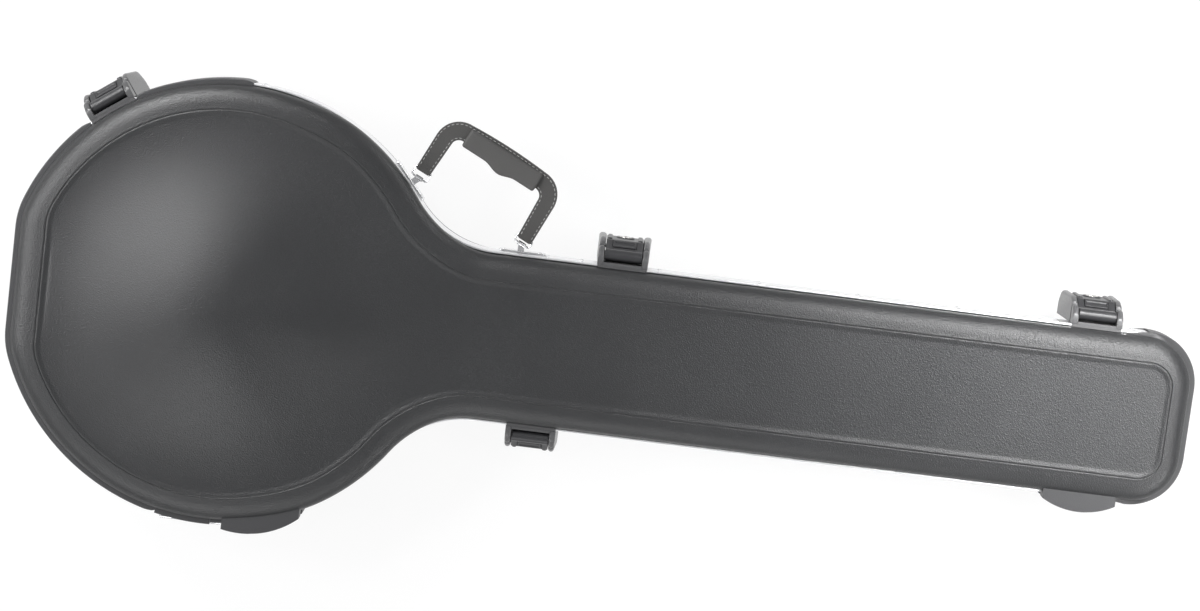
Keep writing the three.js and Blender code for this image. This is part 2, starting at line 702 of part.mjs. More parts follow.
function latchLever() {
  const bossStart = Math.PI - Math.asin(lever.bossShoulder / lever.bossRadius);
  const side = [
    ...arc(lever.barrelReach, lever.barrelRise, lever.barrelRadius,
      -Math.PI / 4, Math.PI * 5 / 4, lever.barrelSteps),
    [lever.innerTop, -lever.innerTopDrop],
    [lever.innerBend, -lever.innerBendDrop],
    [lever.inner, -lever.innerStart],
    [lever.inner, -lever.innerEnd],
    ...arc(latch.pivotReach, -latch.pivotDrop, lever.bossRadius,
      bossStart, Math.PI * 2, lever.bossSteps),
    [lever.front, -lever.frontEnd],
    [lever.front, lever.topDrop - 2 * trigger.drop],
    [lever.topFront, -lever.topDrop],
  ];
  const plate = sideways(side, latch.width - 2 * latch.cheek - 2 * latch.sideGap);
  const recess = onSlope(block(
    [-trigger.halfWidth, -trigger.depth, -trigger.height / 2],
    [trigger.halfWidth, overrun, trigger.height / 2]));
  const lockWell = rod(lock.radius + lock.slack, lever.front + overrun - lock.floor, lock.sides, [0, 1, 0],
    [0, (lever.front + overrun + lock.floor) / 2, -lock.drop]);
  return cut(plate, pivotRod(latch.boreRadius, latch.width), recess, lockWell);
}

function latchTrigger() {
  const halfWidth = trigger.halfWidth - trigger.slack;
  const halfHeight = trigger.height / 2 - trigger.slack;
  return onSlope(block(
    [-halfWidth, trigger.proud - trigger.thickness, -halfHeight], [halfWidth, trigger.proud, halfHeight]));
}

function latchLock() {
  const low = lock.floor + lock.lift;
  const high = lever.front + lock.proud;
  const barrel = rod(lock.radius, high - low, lock.sides, [0, 1, 0], [0, (high + low) / 2, -lock.drop]);
  return cut(barrel, block(
    [-lock.slotWidth / 2, high - lock.slotDepth, -lock.drop - lock.slotLength / 2],
    [lock.slotWidth / 2, high + overrun, lock.slotLength / 2 - lock.drop]));
}

function latchKeeper() {
  const side = [
    [seatGap, keeper.low],
    [keeper.reach, keeper.low],
    [keeper.reach, keeper.front],
    [keeper.slopeReach, keeper.high],
    [seatGap, keeper.high],
  ];
  return common(
    upright(uPlan(keeper.reach), keeper.low - overrun, keeper.high + overrun),
    sideways(side, latch.width + overrun));
}

function makeLatches() {
  const housing = latchHousing();
  const plate = latchLever();
  const button = latchTrigger();
  const cylinder = latchLock();
  const strike = latchKeeper();
  const pin = pivotRod(latch.pinRadius, latch.width + 2 * latch.pinProud);
  for (const place of latchPlaces) {
    const bearing = place.bearing === undefined ? place.side * Math.PI / 2 : place.bearing * degrees;
    const rim = boutRadius + valance.proud;
    const frame = new THREE.Group();
    frame.rotation.z = bearing - Math.PI / 2;
    if (place.bearing === undefined) {
      frame.position.set(place.x, place.side * (neckHalfWidth + valance.proud), partingZ);
    } else {
      frame.position.set(rim * Math.cos(bearing), rim * Math.sin(bearing), partingZ);
    }
    caseGroup.add(frame);
    addPiece(`${place.name}_housing`, housing, 'bracket', frame);
    addPiece(`${place.name}_lever`, plate, 'lever', frame);
    addPiece(`${place.name}_trigger`, button, 'bracket', frame);
    addPiece(`${place.name}_lock`, cylinder, 'steel', frame);
    addPiece(`${place.name}_pin`, pin, 'steel', frame);
    addPiece(`${place.name}_keeper`, strike, 'bracket', frame);
  }
}

// Butt hinge under the bout: knuckles of the two leaves alternate on one pin

function makeHinge() {
  const pitch = (hingeEnd - hingeStart) / hinge.knuckleCount;
  const inner = boutRadius + valance.proud + valance.fit;
  const outer = inner + hinge.leaf;
  const from = -Math.acos(hingeStart / outer);
  const to = -Math.acos(hingeEnd / outer);
  const leafPlan = [
    ...arc(0, 0, outer, from, to, hinge.leafSteps),
    ...arc(0, 0, inner, to, from, hinge.leafSteps),
  ];
  const caseBody = rod(inner - hinge.shy, 2 * hinge.notchHeight + overrun, hinge.caseSides,
    [0, 0, 1], [0, 0, partingZ]);
  const middle = (hingeStart + hingeEnd) / 2;
  const bore = rod(hinge.boreRadius, hingeEnd - hingeStart + overrun, hinge.sides, [1, 0, 0],
    [middle, hingeAxisY, partingZ]);
  const leaf = (side, isOurs) => {
    const span = (near, far) => [near, far].map((rise) => partingZ + side * rise).sort((a, b) => a - b);
    const [leafLow, leafHigh] = span(hinge.leafStart, hinge.leafEnd);
    const [webLow, webHigh] = span(hinge.webStart, hinge.webEnd);
    const barrels = [];
    for (let k = 0; k < hinge.knuckleCount; k += 1) {
      if (!isOurs(k)) continue;
      const start = hingeStart + pitch * k + hinge.knuckleGap / 2;
      const end = start + pitch - hinge.knuckleGap;
      barrels.push(rod(hinge.knuckleRadius, end - start, hinge.sides, [1, 0, 0],
        [(start + end) / 2, hingeAxisY, partingZ]));
      barrels.push(block([start, hingeAxisY, webLow], [end, hingeAxisY + hinge.webReach, webHigh]));
    }
    return cut(join(upright(leafPlan, leafLow, leafHigh), ...barrels), caseBody, bore);
  };
  addPiece('hinge_base_leaf', leaf(-1, (k) => k % 2 === 0), 'steel');
  addPiece('hinge_lid_leaf', leaf(1, (k) => k % 2 === 1), 'steel');

  const length = hingeEnd - hingeStart + 2 * hinge.knuckleGap;
  const heads = [-1, 1].map((side) => rod(hinge.headRadius, hinge.headLength, hinge.sides, [1, 0, 0],
    [middle + side * (length + hinge.headLength) / 2, hingeAxisY, partingZ]));
  addPiece('hinge_pin', join(
    rod(hinge.pinRadius, length + hinge.headLength, hinge.sides, [1, 0, 0], [middle, hingeAxisY, partingZ]),
    ...heads), 'steel');
}

// Moulded feet on the long side opposite the handle, each split between the lid and the base

function makeFeet() {
  const skirt = -valance.proud - seatGap;
  const lidSpace = filled([[-seatGap, partingZ], ...lidShoulder(-seatGap, lidForm.shoulderSteps)]);
  const lidEdging = filled([[skirt, partingZ], [skirt, partingZ + valance.lidHeight + seatGap]]);
  const baseSpace = filled([
    ...baseCorner(-seatGap, baseForm.cornerSteps).reverse(),
    [-seatGap, partingZ - baseForm.rimDrop],
    [-seatGap, partingZ],
  ]);
  const baseEdging = filled([[skirt, partingZ - valance.baseHeight - seatGap], [skirt, partingZ]]);
  const places = [['bout_foot', boutFootCentre, boutFoot], ['neck_foot', neckFootCentre, neckFoot]];
  for (const [name, centre, form] of places) {
    const curve = arc(centre.x, centre.y, form.radius, ground - (form.stepsBefore + 1 / 2) * footStep,
      ground + (form.stepsAfter + 1 / 2) * footStep, form.stepsBefore + form.stepsAfter + 1);
    const [startX, startY] = curve[0];
    const [endX, endY] = curve[curve.length - 1];
    const plan = [...curve, [endX, endY + foot.inward], [startX, startY + foot.inward]];
    addPiece(`lid_${name}`, cut(
      upright(plan, partingZ + foot.lidLow, partingZ + foot.lidHigh), lidSpace, lidEdging), 'shell');
    addPiece(`base_${name}`, cut(
      upright(plan, partingZ - foot.baseLow, partingZ - foot.baseHigh), baseSpace, baseEdging), 'shell');
  }
}

// Handle: everything is drawn in a frame with X along the swing axis and Y out of the case

const leftRadius = boutRadius + valance.proud + handle.axisOut;
const leftBearing = waistBearing + handle.pastWaistDegrees * degrees;
const axisLeft = new THREE.Vector2(leftRadius * Math.cos(leftBearing), leftRadius * Math.sin(leftBearing));
const axisRight = new THREE.Vector2(
  neckStart + handle.rightPastWaist, neckHalfWidth + valance.proud + handle.axisOut);
const axisLength = axisRight.distanceTo(axisLeft);
const axisAngle = axisRight.clone().sub(axisLeft).angle();

// Closed wire loop: a round section mitred round a flat path
function wireLoop(path, radius, sides) {
  const rings = path.map(([x, y], i) => {
    const [backX, backY] = path[(i + path.length - 1) % path.length];
    const [aheadX, aheadY] = path[(i + 1) % path.length];
    const into = new THREE.Vector2(x - backX, y - backY).normalize();
    const along = new THREE.Vector2(aheadX - x, aheadY - y).normalize().add(into).normalize();
    const mitre = radius / along.dot(into);
    return Array.from({ length: sides }, (_, k) => {
      const angle = k / sides * Math.PI * 2;
      const across = mitre * Math.cos(angle);
      return [x - along.y * across, y + along.x * across, radius * Math.sin(angle)];
    });
  });
  return skin(rings, true);
}

// Solid through a run of sections, each end closed on the middle of its section
function capped(rings) {
  const gathered = (points) => {
    const total = (axis) => points.reduce((sum, point) => sum + point[axis], 0);
    const middle = [0, 1, 2].map((axis) => total(axis) / points.length);
    return points.map(() => middle);
  };
  return skin([gathered(rings[0]), ...rings, gathered(rings[rings.length - 1])], false);
}

function strapPlan(ends) {
  const inner = handle.reach - handle.width;
  const shoulderY = handle.reach - handle.crown - handle.outerCorner;
  const [outerLeft, outerRight] = [-handle.armFlare, axisLength + handle.armFlare];
  const [innerLeft, innerRight] = [outerLeft + handle.armWidth, outerRight - handle.armWidth];
  const half = handle.endWidth / 2;
  const tip = ({ centre, top }) => [
    [centre - half, top - ring.wire - ring.endWall],
    [centre + half, top - ring.wire - ring.endWall],
  ];
  const middle = axisLength / 2;
  const flat = middle + handle.armFlare - handle.outerCorner;
  const crown = Array.from({ length: handle.crownSteps - 1 }, (_, i) => {
    const share = 1 - 2 * (i + 1) / handle.crownSteps;
    return [middle + flat * share, handle.reach - handle.crown * share * share];
  });
  return [
    ...tip(ends[0]),
    ...arc(innerLeft + handle.innerCorner, inner - handle.innerCorner, handle.innerCorner,
      Math.PI, Math.PI / 2, handle.cornerSteps),
    ...arc(innerRight - handle.innerCorner, inner - handle.innerCorner, handle.innerCorner,
      Math.PI / 2, 0, handle.cornerSteps),
    ...tip(ends[1]),
    ...arc(outerRight - handle.outerCorner, shoulderY, handle.outerCorner,
      0, Math.PI / 2, handle.cornerSteps),
    ...crown,
    ...arc(outerLeft + handle.outerCorner, shoulderY, handle.outerCorner,
      Math.PI / 2, Math.PI, handle.cornerSteps),
  ];
}

function gripBody() {
  const half = grip.thickness / 2;
  const start = axisLength * grip.startShare;
  const end = axisLength * grip.endShare;
  const inner = handle.reach - handle.width;
  const top = handle.reach - grip.topInset;
  const stations = Array.from({ length: grip.steps + 1 }, (_, i) => {
    const x = start + (end - start) * i / grip.steps;
    const away = Math.min(Math.abs(x - axisLength * grip.swellShare) / grip.swellReach, 1);
    const low = inner - grip.under - grip.swell * (1 + Math.cos(Math.PI * away)) / 2;
    const inset = i === 0 || i === grip.steps ? grip.bevel : 0;
    const narrow = half - inset;
    return [
      [x, low + grip.bevel + inset, -narrow], [x, low + inset, grip.bevel - narrow],
      [x, low + inset, narrow - grip.bevel], [x, low + grip.bevel + inset, narrow],
      [x, top - grip.bevel - inset, narrow], [x, top - inset, narrow - grip.bevel],
      [x, top - inset, grip.bevel - narrow], [x, top - grip.bevel - inset, -narrow],
    ];
  });
  const slot = handle.thickness / 2 + seatGap;
  return cut(capped(stations), block(
    [start - overrun, inner - seatGap, -slot], [end + overrun, top + overrun, slot]));
}

function makeHandle() {
  const frame = new THREE.Group();
  frame.rotation.z = axisAngle;
  frame.position.set(axisLeft.x, axisLeft.y, partingZ - handle.axisDrop);
  caseGroup.add(frame);

  const ends = handleEnds.map((end, i) => ({ ...end, centre: i * axisLength + end.offset }));
  const bores = ends.map(({ centre, top }) => rod(
    handle.boreRadius, handle.armWidth + overrun, handle.boreSides, [1, 0, 0], [centre, top - ring.wire, 0]));
  const strap = upright(strapPlan(ends), -handle.thickness / 2, handle.thickness / 2);
  addPiece('handle_strap', cut(strap, ...bores), 'handle', frame);
  addPiece('handle_grip', gripBody(), 'handle', frame);

  for (const { name, centre, top } of ends) {
    const half = ring.width / 2 - ring.wire - ring.corner;
    const high = top - ring.wire - ring.corner;
    const path = [
      [half, high, 0], [-half, high, 1], [-half, ring.corner, 2], [half, ring.corner, 3],
    ].flatMap(([x, y, quarterTurn]) => arc(centre + x, y, ring.corner, quarterTurn * Math.PI / 2,
      (quarterTurn + 1) * Math.PI / 2, ring.steps));
    addPiece(`handle_${name}_ring`, wireLoop(path, ring.wire, ring.sides), 'steel', frame);
  }
}

// Brackets on the edging: a plate flat against it and an eye in line with the swing axis
function makeBrackets() {
  const faces = [
    { x: axisLeft.x, y: axisLeft.y, facing: leftBearing },
    { x: axisRight.x, y: axisRight.y, facing: Math.PI / 2 },
  ];
  faces.forEach(({ x, y, facing }, i) => {
    const { name, offset } = handleEnds[i];
    const frame = new THREE.Group();
    frame.rotation.z = facing - Math.PI / 2;
    frame.position.set(x - handle.axisOut * Math.cos(facing), y - handle.axisOut * Math.sin(facing),
      partingZ - handle.axisDrop);
    caseGroup.add(frame);
    const skew = axisAngle - facing + Math.PI / 2;
    const direction = [Math.cos(skew), Math.sin(skew), 0];
    const eye = [offset * Math.cos(skew), handle.axisOut + offset * Math.sin(skew), 0];
    const plate = block([-bracket.length / 2, seatGap, -bracket.height / 2],
      [bracket.length / 2, seatGap + bracket.plate, bracket.height / 2]);
    const web = block([eye[0] - bracket.webLength / 2, seatGap, -bracket.webHeight / 2],
      [eye[0] + bracket.webLength / 2, eye[1], bracket.webHeight / 2]);
    const barrel = rod(bracket.eyeRadius, bracket.eyeLength, bracket.sides, direction, eye);
    const bore = rod(bracket.boreRadius, bracket.eyeLength + overrun, bracket.sides, direction, eye);
    addPiece(`handle_${name}_bracket`, cut(join(plate, web, barrel), bore), 'steel', frame);
  });
}

makeLid();
makeBase();
makeValances();
makeBaseLiner();
makeCompartment();
makeCradle();
makeLatches();
makeHinge();
makeFeet();
makeHandle();
makeBrackets();

// The origin goes under the middle of the case, on the flat it lies on
const whole = new THREE.Group();
whole.add(caseGroup);
whole.updateMatrixWorld(true);
const bounds = new THREE.Box3().setFromObject(whole, true);
const centre = bounds.getCenter(new THREE.Vector3());
caseGroup.position.set(-centre.x, -centre.y, -bounds.min.z);

export default whole;
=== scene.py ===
import math

import bmesh
import bpy
import numpy as np
from mathutils import Matrix, Vector


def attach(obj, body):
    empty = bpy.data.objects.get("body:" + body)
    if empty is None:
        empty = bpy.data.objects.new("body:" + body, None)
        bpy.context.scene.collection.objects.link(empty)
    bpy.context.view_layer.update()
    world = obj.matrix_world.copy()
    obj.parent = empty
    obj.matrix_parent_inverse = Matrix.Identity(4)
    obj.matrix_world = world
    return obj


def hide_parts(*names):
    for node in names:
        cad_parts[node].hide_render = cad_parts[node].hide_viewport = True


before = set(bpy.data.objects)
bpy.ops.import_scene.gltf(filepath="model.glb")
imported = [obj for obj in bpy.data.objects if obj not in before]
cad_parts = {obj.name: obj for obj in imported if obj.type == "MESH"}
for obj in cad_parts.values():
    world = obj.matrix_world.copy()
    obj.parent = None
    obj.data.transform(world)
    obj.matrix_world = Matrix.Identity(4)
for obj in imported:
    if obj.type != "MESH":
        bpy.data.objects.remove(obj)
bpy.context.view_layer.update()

# Everything is drawn in millimetres from the middle of the round bout, X to the head,
# Y to the handle side, Z up from the floor, and moved to the frame's metres at the end.
middleOfBout = np.array([-353.75, 1.754021, 0.0])
metre = 0.001
halfTurn = math.pi
quarterTurn = math.pi / 2
parting = 100.0

# shapes in numpy
# A shape is its points and a list of arrays of faces, all faces of one array alike.


def gridFaces(rows, cols, closeRows=False, closeCols=False):
    # point (r, c) of a grid is number r * cols + c; each cell is one four-sided face
    r = np.arange(rows if closeRows else rows - 1)[:, None]
    c = np.arange(cols if closeCols else cols - 1)[None, :]
    nextRow, nextCol = (r + 1) % rows, (c + 1) % cols
    corners = [r * cols + c, r * cols + nextCol, nextRow * cols + nextCol, nextRow * cols + c]
    return np.stack([a + 0 * r + 0 * c for a in corners], -1).reshape(-1, 4)


def gridShape(grid, closeRows=False, closeCols=False, capCols=False):
    # a surface through a grid of points; capCols closes the two ends of a tube of rows
    rows, cols = grid.shape[:2]
    faces = [gridFaces(rows, cols, closeRows, closeCols)]
    if capCols:
        around = np.arange(rows) * cols
        faces += [around[None, ::-1], (around + cols - 1)[None]]
    return grid.reshape(-1, 3), faces


def joined(shapes):
    # several shapes as one, with the face numbers of each moved past the points before it
    points, faces, count = [], [], 0
    for shapePoints, shapeFaces in shapes:
        points.append(shapePoints)
        faces += [f + count for f in shapeFaces]
        count += len(shapePoints)
    return np.concatenate(points), faces


def placed(shape, axes, origin):
    # p' = origin + p.x * axes[0] + p.y * axes[1] + p.z * axes[2]
    points, faces = shape
    return points @ np.asarray(axes, float) + np.asarray(origin, float), faces


def scattered(shape, centres, axes):
    # the same small shape at many places, each with axes of its own
    points, faces = shape
    spread = np.einsum("pk,mkj->mpj", points, axes) + centres[:, None]
    first = np.arange(len(centres))[:, None, None] * len(points)
    return spread.reshape(-1, 3), [(f[None] + first).reshape(-1, f.shape[1]) for f in faces]


def prism(outline, low, high):
    # a flat outline carried straight up from low to high
    outline = np.asarray(outline, float)
    n = len(outline)
    points = np.concatenate([np.column_stack([outline, np.full(n, z)]) for z in (low, high)])
    i = np.arange(n)
    j = (i + 1) % n
    return points, [np.stack([i, j, j + n, i + n], -1), i[None, ::-1], (i + n)[None]]


def sideways(outline, start, end):
    # an outline of reach and height carried along X
    points, faces = prism(outline, start, end)
    return points[:, [2, 0, 1]], faces


def arc(centre, radius, start, end, count):
    # count points at equal angles: centre + radius * (cos a, sin a)
    a = np.linspace(start, end, count)
    return np.stack([centre[0] + radius * np.cos(a), centre[1] + radius * np.sin(a)], -1)


def line(start, end, shares):
    # start + share * (end - start)
    return np.asarray(start, float) + np.outer(shares, np.subtract(end, start))


def rounded(outline, radius, steps=4):
    # each corner of a closed outline becomes (1-t)^2 a + 2t(1-t) corner + t^2 b,
    # where a and b lie a radius before and after it
    p = np.asarray(outline, float)
    radius = np.broadcast_to(np.asarray(radius, float), (len(p),))[:, None]

    def toward(v):
        length = np.linalg.norm(v, axis=1, keepdims=True)
        return p + v / length * np.minimum(radius, 0.47 * length)

    a, b = toward(np.roll(p, 1, 0) - p)[:, None], toward(np.roll(p, -1, 0) - p)[:, None]
    t = np.linspace(0, 1, steps + 1)[None, :, None]
    return ((1 - t) ** 2 * a + 2 * t * (1 - t) * p[:, None] + t**2 * b).reshape(-1, 2)


def eased(points, rounds=3):
    # an open line with its corners cut at a quarter and three quarters, several times over
    p = np.asarray(points, float)
    for _ in range(rounds):
        a, b = 0.75 * p[:-1] + 0.25 * p[1:], 0.25 * p[:-1] + 0.75 * p[1:]
        p = np.concatenate([p[:1], np.stack([a, b], 1).reshape(-1, p.shape[1])[1:-1], p[-1:]])
    return p


def smooth(t):
    # 3t^2 - 2t^3 between 0 and 1
    t = np.clip(t, 0, 1)
    return t * t * (3 - 2 * t)


def rectangle(halfX, halfY):
    return np.array([[-halfX, -halfY], [halfX, -halfY], [halfX, halfY], [-halfX, halfY]], float)


def box(left, right, low, high):
    return rectangle((right - left) / 2, (high - low) / 2) + ((left + right) / 2, (low + high) / 2)


def tube(path, radius, sides=12, closed=False):
    # round section radius * (cos a, sin a) square to a path, in the plane of its bend and out of it
    path = np.asarray(path, float)
    ahead = np.roll(path, -1, 0) - np.roll(path, 1, 0) if closed else np.gradient(path, axis=0)
    ahead /= np.linalg.norm(ahead, axis=1, keepdims=True)
    spare = np.array([0.0, 0.0, 1.0]) if abs(ahead[:, 2]).max() < 0.9 else np.array([1.0, 0.0, 0.0])
    side = np.cross(spare, ahead)
    side /= np.linalg.norm(side, axis=1, keepdims=True)
    over = np.cross(ahead, side)
    a = np.linspace(0, 2 * halfTurn, sides, endpoint=False)[:, None, None]
    grid = path[None] + radius * (np.cos(a) * side[None] + np.sin(a) * over[None])
    return gridShape(grid, closeRows=True, closeCols=closed, capCols=not closed)


def turned(profile, sides=24):
    # a profile of radius and height turned about Z; it starts and ends on the axis
    profile = np.asarray(profile, float)
    a = np.linspace(0, 2 * halfTurn, sides, endpoint=False)[None]
    r, z = profile[:, :1], profile[:, 1:]
    return gridShape(np.stack([r * np.cos(a), r * np.sin(a), z + 0 * a], -1), closeCols=True)


def plate(halfX, halfY, corner, section, steps=4):
    # rings of one rounded rectangle, each moved in by the section's inset at its height
    def ring(inset, height):
        r = max(corner - inset, 0.05)
        flat = rounded(rectangle(halfX - inset, halfY - inset), r, steps)
        return np.column_stack([flat, np.full(len(flat), height)])

    first, last = section[0], section[-1]
    rings = [ring(*row) for row in section]
    poles = [rings[0] * 0 + (0, 0, first[1]), rings[0] * 0 + (0, 0, last[1])]
    return gridShape(np.stack([poles[0], *rings, poles[1]]), closeCols=True)


# pieces in Blender


def newMesh(name, shapes, weld=2e-6):
    # points to metres in the frame, seams and poles welded, faces turned outward
    points, faces = joined(shapes)
    mesh = bpy.data.meshes.new(name)
    spots = (points + middleOfBout) * metre
    mesh.from_pydata(spots.tolist(), [], [f for group in faces for f in group.tolist()])
    built = bmesh.new()
    built.from_mesh(mesh)
    bmesh.ops.remove_doubles(built, verts=built.verts, dist=weld)
    bmesh.ops.recalc_face_normals(built, faces=built.faces)
    built.to_mesh(mesh)
    built.free()
    return mesh


def carve(piece, cutters):
    # takes the cutters' space out of the piece for good
    tools = []
    for k, cutter in enumerate(cutters):
        tool = bpy.data.objects.new(f"{piece.name}_tool{k}", newMesh("tool", [cutter]))
        bpy.context.scene.collection.objects.link(tool)
        step = piece.modifiers.new("carve", "BOOLEAN")
        step.object, step.operation, step.solver = tool, "DIFFERENCE", "EXACT"
        tools.append(tool)
    bpy.context.view_layer.update()
    plan = bpy.context.evaluated_depsgraph_get()
    piece.data = bpy.data.meshes.new_from_object(piece.evaluated_get(plan))
    piece.modifiers.clear()
    for tool in tools:
        bpy.data.objects.remove(tool)


def makePiece(name, shapes, finish, body, nodes=(), crease=38, bevel=0, segments=2,
              cutters=()):
    # one finished piece on its body; crease is the angle past which an edge shades sharp
    piece = bpy.data.objects.new(name, newMesh(name, shapes))
    bpy.context.scene.collection.objects.link(piece)
    if cutters:
        carve(piece, cutters)
    piece.data.shade_smooth()
    piece.data.set_sharp_from_angle(angle=math.radians(crease))
    if bevel:
        edge = piece.modifiers.new("soft_edges", "BEVEL")
        edge.width, edge.segments, edge.limit_method = bevel * metre, segments, "ANGLE"
        edge.angle_limit, edge.harden_normals = math.radians(crease - 4), True
    piece.data.materials.clear()
    piece.data.materials.append(look[finish])
    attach(piece, body)
    if nodes:
        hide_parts(*nodes)
    return piece


# materials


grainForm = {"patches": (0.2, 0.7), "specks": (0.38, 0.66), "slowDetail": 3.0, "fineDetail": 2.5,
             "cellScale": 0.8, "strength": 0.8}


def addNode(tree, kind, inputs=(), **settings):
    # a node with its settings; each input is a pair of its name or number and a value or an output
    node = tree.nodes.new(kind)
    for key, value in settings.items():
        setattr(node, key, value)
    for socket, value in inputs:
        if isinstance(value, bpy.types.NodeSocket):
            tree.links.new(value, node.inputs[socket])
        else:
            node.inputs[socket].default_value = value
    return node


def grained(name, colour, tint, roughness, gloss, grain, depth, metallic=0.0, plain=None,
            stretch=(1, 1, 1), cells=True, drift=9.0, sockets=()):
    # colour drifts between two tints; a small grain gives the bump and breaks up the gloss
    material = bpy.data.materials.new(name)
    material.use_nodes = True
    tree = material.node_tree
    shader = tree.nodes["Principled BSDF"].inputs
    shader["Base Color"].default_value = (*(plain or colour), 1)
    shader["Roughness"].default_value, shader["Metallic"].default_value = roughness, metallic
    for socket, value in sockets:
        shader[socket].default_value = value

    place = addNode(tree, "ShaderNodeTexCoord").outputs["Object"]
    place = addNode(tree, "ShaderNodeMapping", [("Vector", place), ("Scale", stretch)]).outputs[0]
    slow, fine = (
        addNode(tree, "ShaderNodeTexNoise", [
            ("Vector", place), ("Scale", scale), ("Detail", detail)])
        for scale, detail in ((drift, grainForm["slowDetail"]), (grain, grainForm["fineDetail"])))
    patches, specks = (
        addNode(tree, "ShaderNodeMapRange", [
            ("Value", noise.outputs["Fac"]), ("From Min", low), ("From Max", high)]).outputs[0]
        for noise, (low, high) in ((slow, grainForm["patches"]), (fine, grainForm["specks"])))
    share = addNode(tree, "ShaderNodeMath", [(0, patches), (1, specks)], operation="MULTIPLY")
    mix = addNode(tree, "ShaderNodeMix", [
        ("Factor", share.outputs[0]), ("A", (*colour, 1)), ("B", (*tint, 1))], data_type="RGBA")
    tree.links.new(mix.outputs["Result"], shader["Base Color"])

    height = fine.outputs["Fac"]
    if cells:
        pebble = addNode(tree, "ShaderNodeTexVoronoi", [
            ("Vector", place), ("Scale", grain * grainForm["cellScale"])], feature="SMOOTH_F1")
        height = addNode(tree, "ShaderNodeMath", [(0, pebble.outputs["Distance"]), (1, height)],
                         operation="MULTIPLY").outputs[0]
    rough = addNode(tree, "ShaderNodeMapRange", [
        ("Value", fine.outputs["Fac"]), ("To Min", gloss[0]), ("To Max", gloss[1])])
    tree.links.new(rough.outputs[0], shader["Roughness"])
    bump = addNode(tree, "ShaderNodeBump", [
        ("Height", height), ("Strength", grainForm["strength"]), ("Distance", depth)])
    tree.links.new(bump.outputs[0], shader["Normal"])
    return material


# colour and tint are what the surface drifts between, gloss the two ends of its roughness,
# grain the number of specks in a metre and depth the height of the bump in metres
finishes = {
    "pebbled_abs": {
        "colour": (0.017, 0.0174, 0.0184), "tint": (0.031, 0.0316, 0.033),
        "roughness": 0.33, "gloss": (0.29, 0.38), "grain": 1150.0, "depth": 0.0006},
    "smooth_abs": {
        "colour": (0.032, 0.032, 0.034), "tint": (0.044, 0.044, 0.046),
        "roughness": 0.45, "gloss": (0.4, 0.5), "grain": 1100.0, "depth": 0.00015},
    "bracket_plastic": {
        "colour": (0.07, 0.07, 0.072), "tint": (0.09, 0.09, 0.093),
        "roughness": 0.3, "gloss": (0.24, 0.34), "grain": 1500.0, "depth": 0.00005, "cells": False},
    "lever_plastic": {
        "colour": (0.02, 0.02, 0.022), "tint": (0.03, 0.03, 0.032),
        "roughness": 0.34, "gloss": (0.3, 0.4), "grain": 1500.0, "depth": 0.00004, "cells": False},
    "strap_leatherette": {
        "colour": (0.036, 0.035, 0.034), "tint": (0.05, 0.049, 0.047),
        "roughness": 0.7, "gloss": (0.6, 0.8), "grain": 1300.0, "depth": 0.00025},
    "grip_rubber": {
        "colour": (0.049, 0.048, 0.047), "tint": (0.065, 0.063, 0.062),
        "roughness": 0.6, "gloss": (0.5, 0.65), "grain": 1600.0, "depth": 0.0001, "cells": False},
    "black_plush": {
        "colour": (0.012, 0.012, 0.014), "tint": (0.03, 0.03, 0.034),
        "roughness": 0.95, "gloss": (0.85, 1.0), "grain": 1500.0, "depth": 0.0006, "drift": 22.0,
        "sockets": [("Sheen Weight", 0.6), ("Sheen Roughness", 0.35)]},
    "brushed_aluminium": {
        "plain": (0.82, 0.82, 0.83), "colour": (0.9, 0.9, 0.91), "tint": (0.8, 0.8, 0.81),
        "roughness": 0.3, "gloss": (0.28, 0.4), "grain": 40.0, "depth": 0.00002, "cells": False,
        "metallic": 1.0, "stretch": (1, 1, 160), "drift": 14.0},
    "plated_steel": {
        "plain": (0.8, 0.8, 0.81), "colour": (0.84, 0.84, 0.85), "tint": (0.72, 0.72, 0.73),
        "roughness": 0.2, "gloss": (0.14, 0.26), "grain": 900.0, "depth": 0.00003, "cells": False,
        "metallic": 1.0},
    "nickel_plate": {
        "plain": (0.7, 0.69, 0.67), "colour": (0.72, 0.71, 0.69), "tint": (0.6, 0.59, 0.57),
        "roughness": 0.22, "gloss": (0.18, 0.3), "grain": 900.0, "depth": 0.00002, "cells": False,
        "metallic": 1.0},
    "stitching_thread": {
        "plain": (0.3, 0.3, 0.3), "colour": (0.28, 0.28, 0.275), "tint": (0.38, 0.38, 0.37),
        "roughness": 0.8, "gloss": (0.7, 0.85), "grain": 2500.0, "depth": 0.0001, "cells": False},
}
look = {name: grained(name, **form) for name, form in finishes.items()}
print("materials:", len(look))

# outline of the case

# radii of the arcs, half the neck's width and the places of the two ends; the extras move the
# tail, the head and its corners in, from one inset to another
caseOutline = {
    "bout": 205, "tail": 196, "tailFillet": 70, "waist": 94, "neck": 78, "head": 903.5,
    "corner": 44.5, "widerFrom": 4, "widerTo": 24, "tailExtra": 3, "headExtra": -4,
    "cornerExtra": -1,
}
pointCounts = {"flat": 12, "fillet": 20, "bout": 130, "waist": 44, "corner": 20, "end": 10}
evenNeck = np.linspace(0, 1, 61)


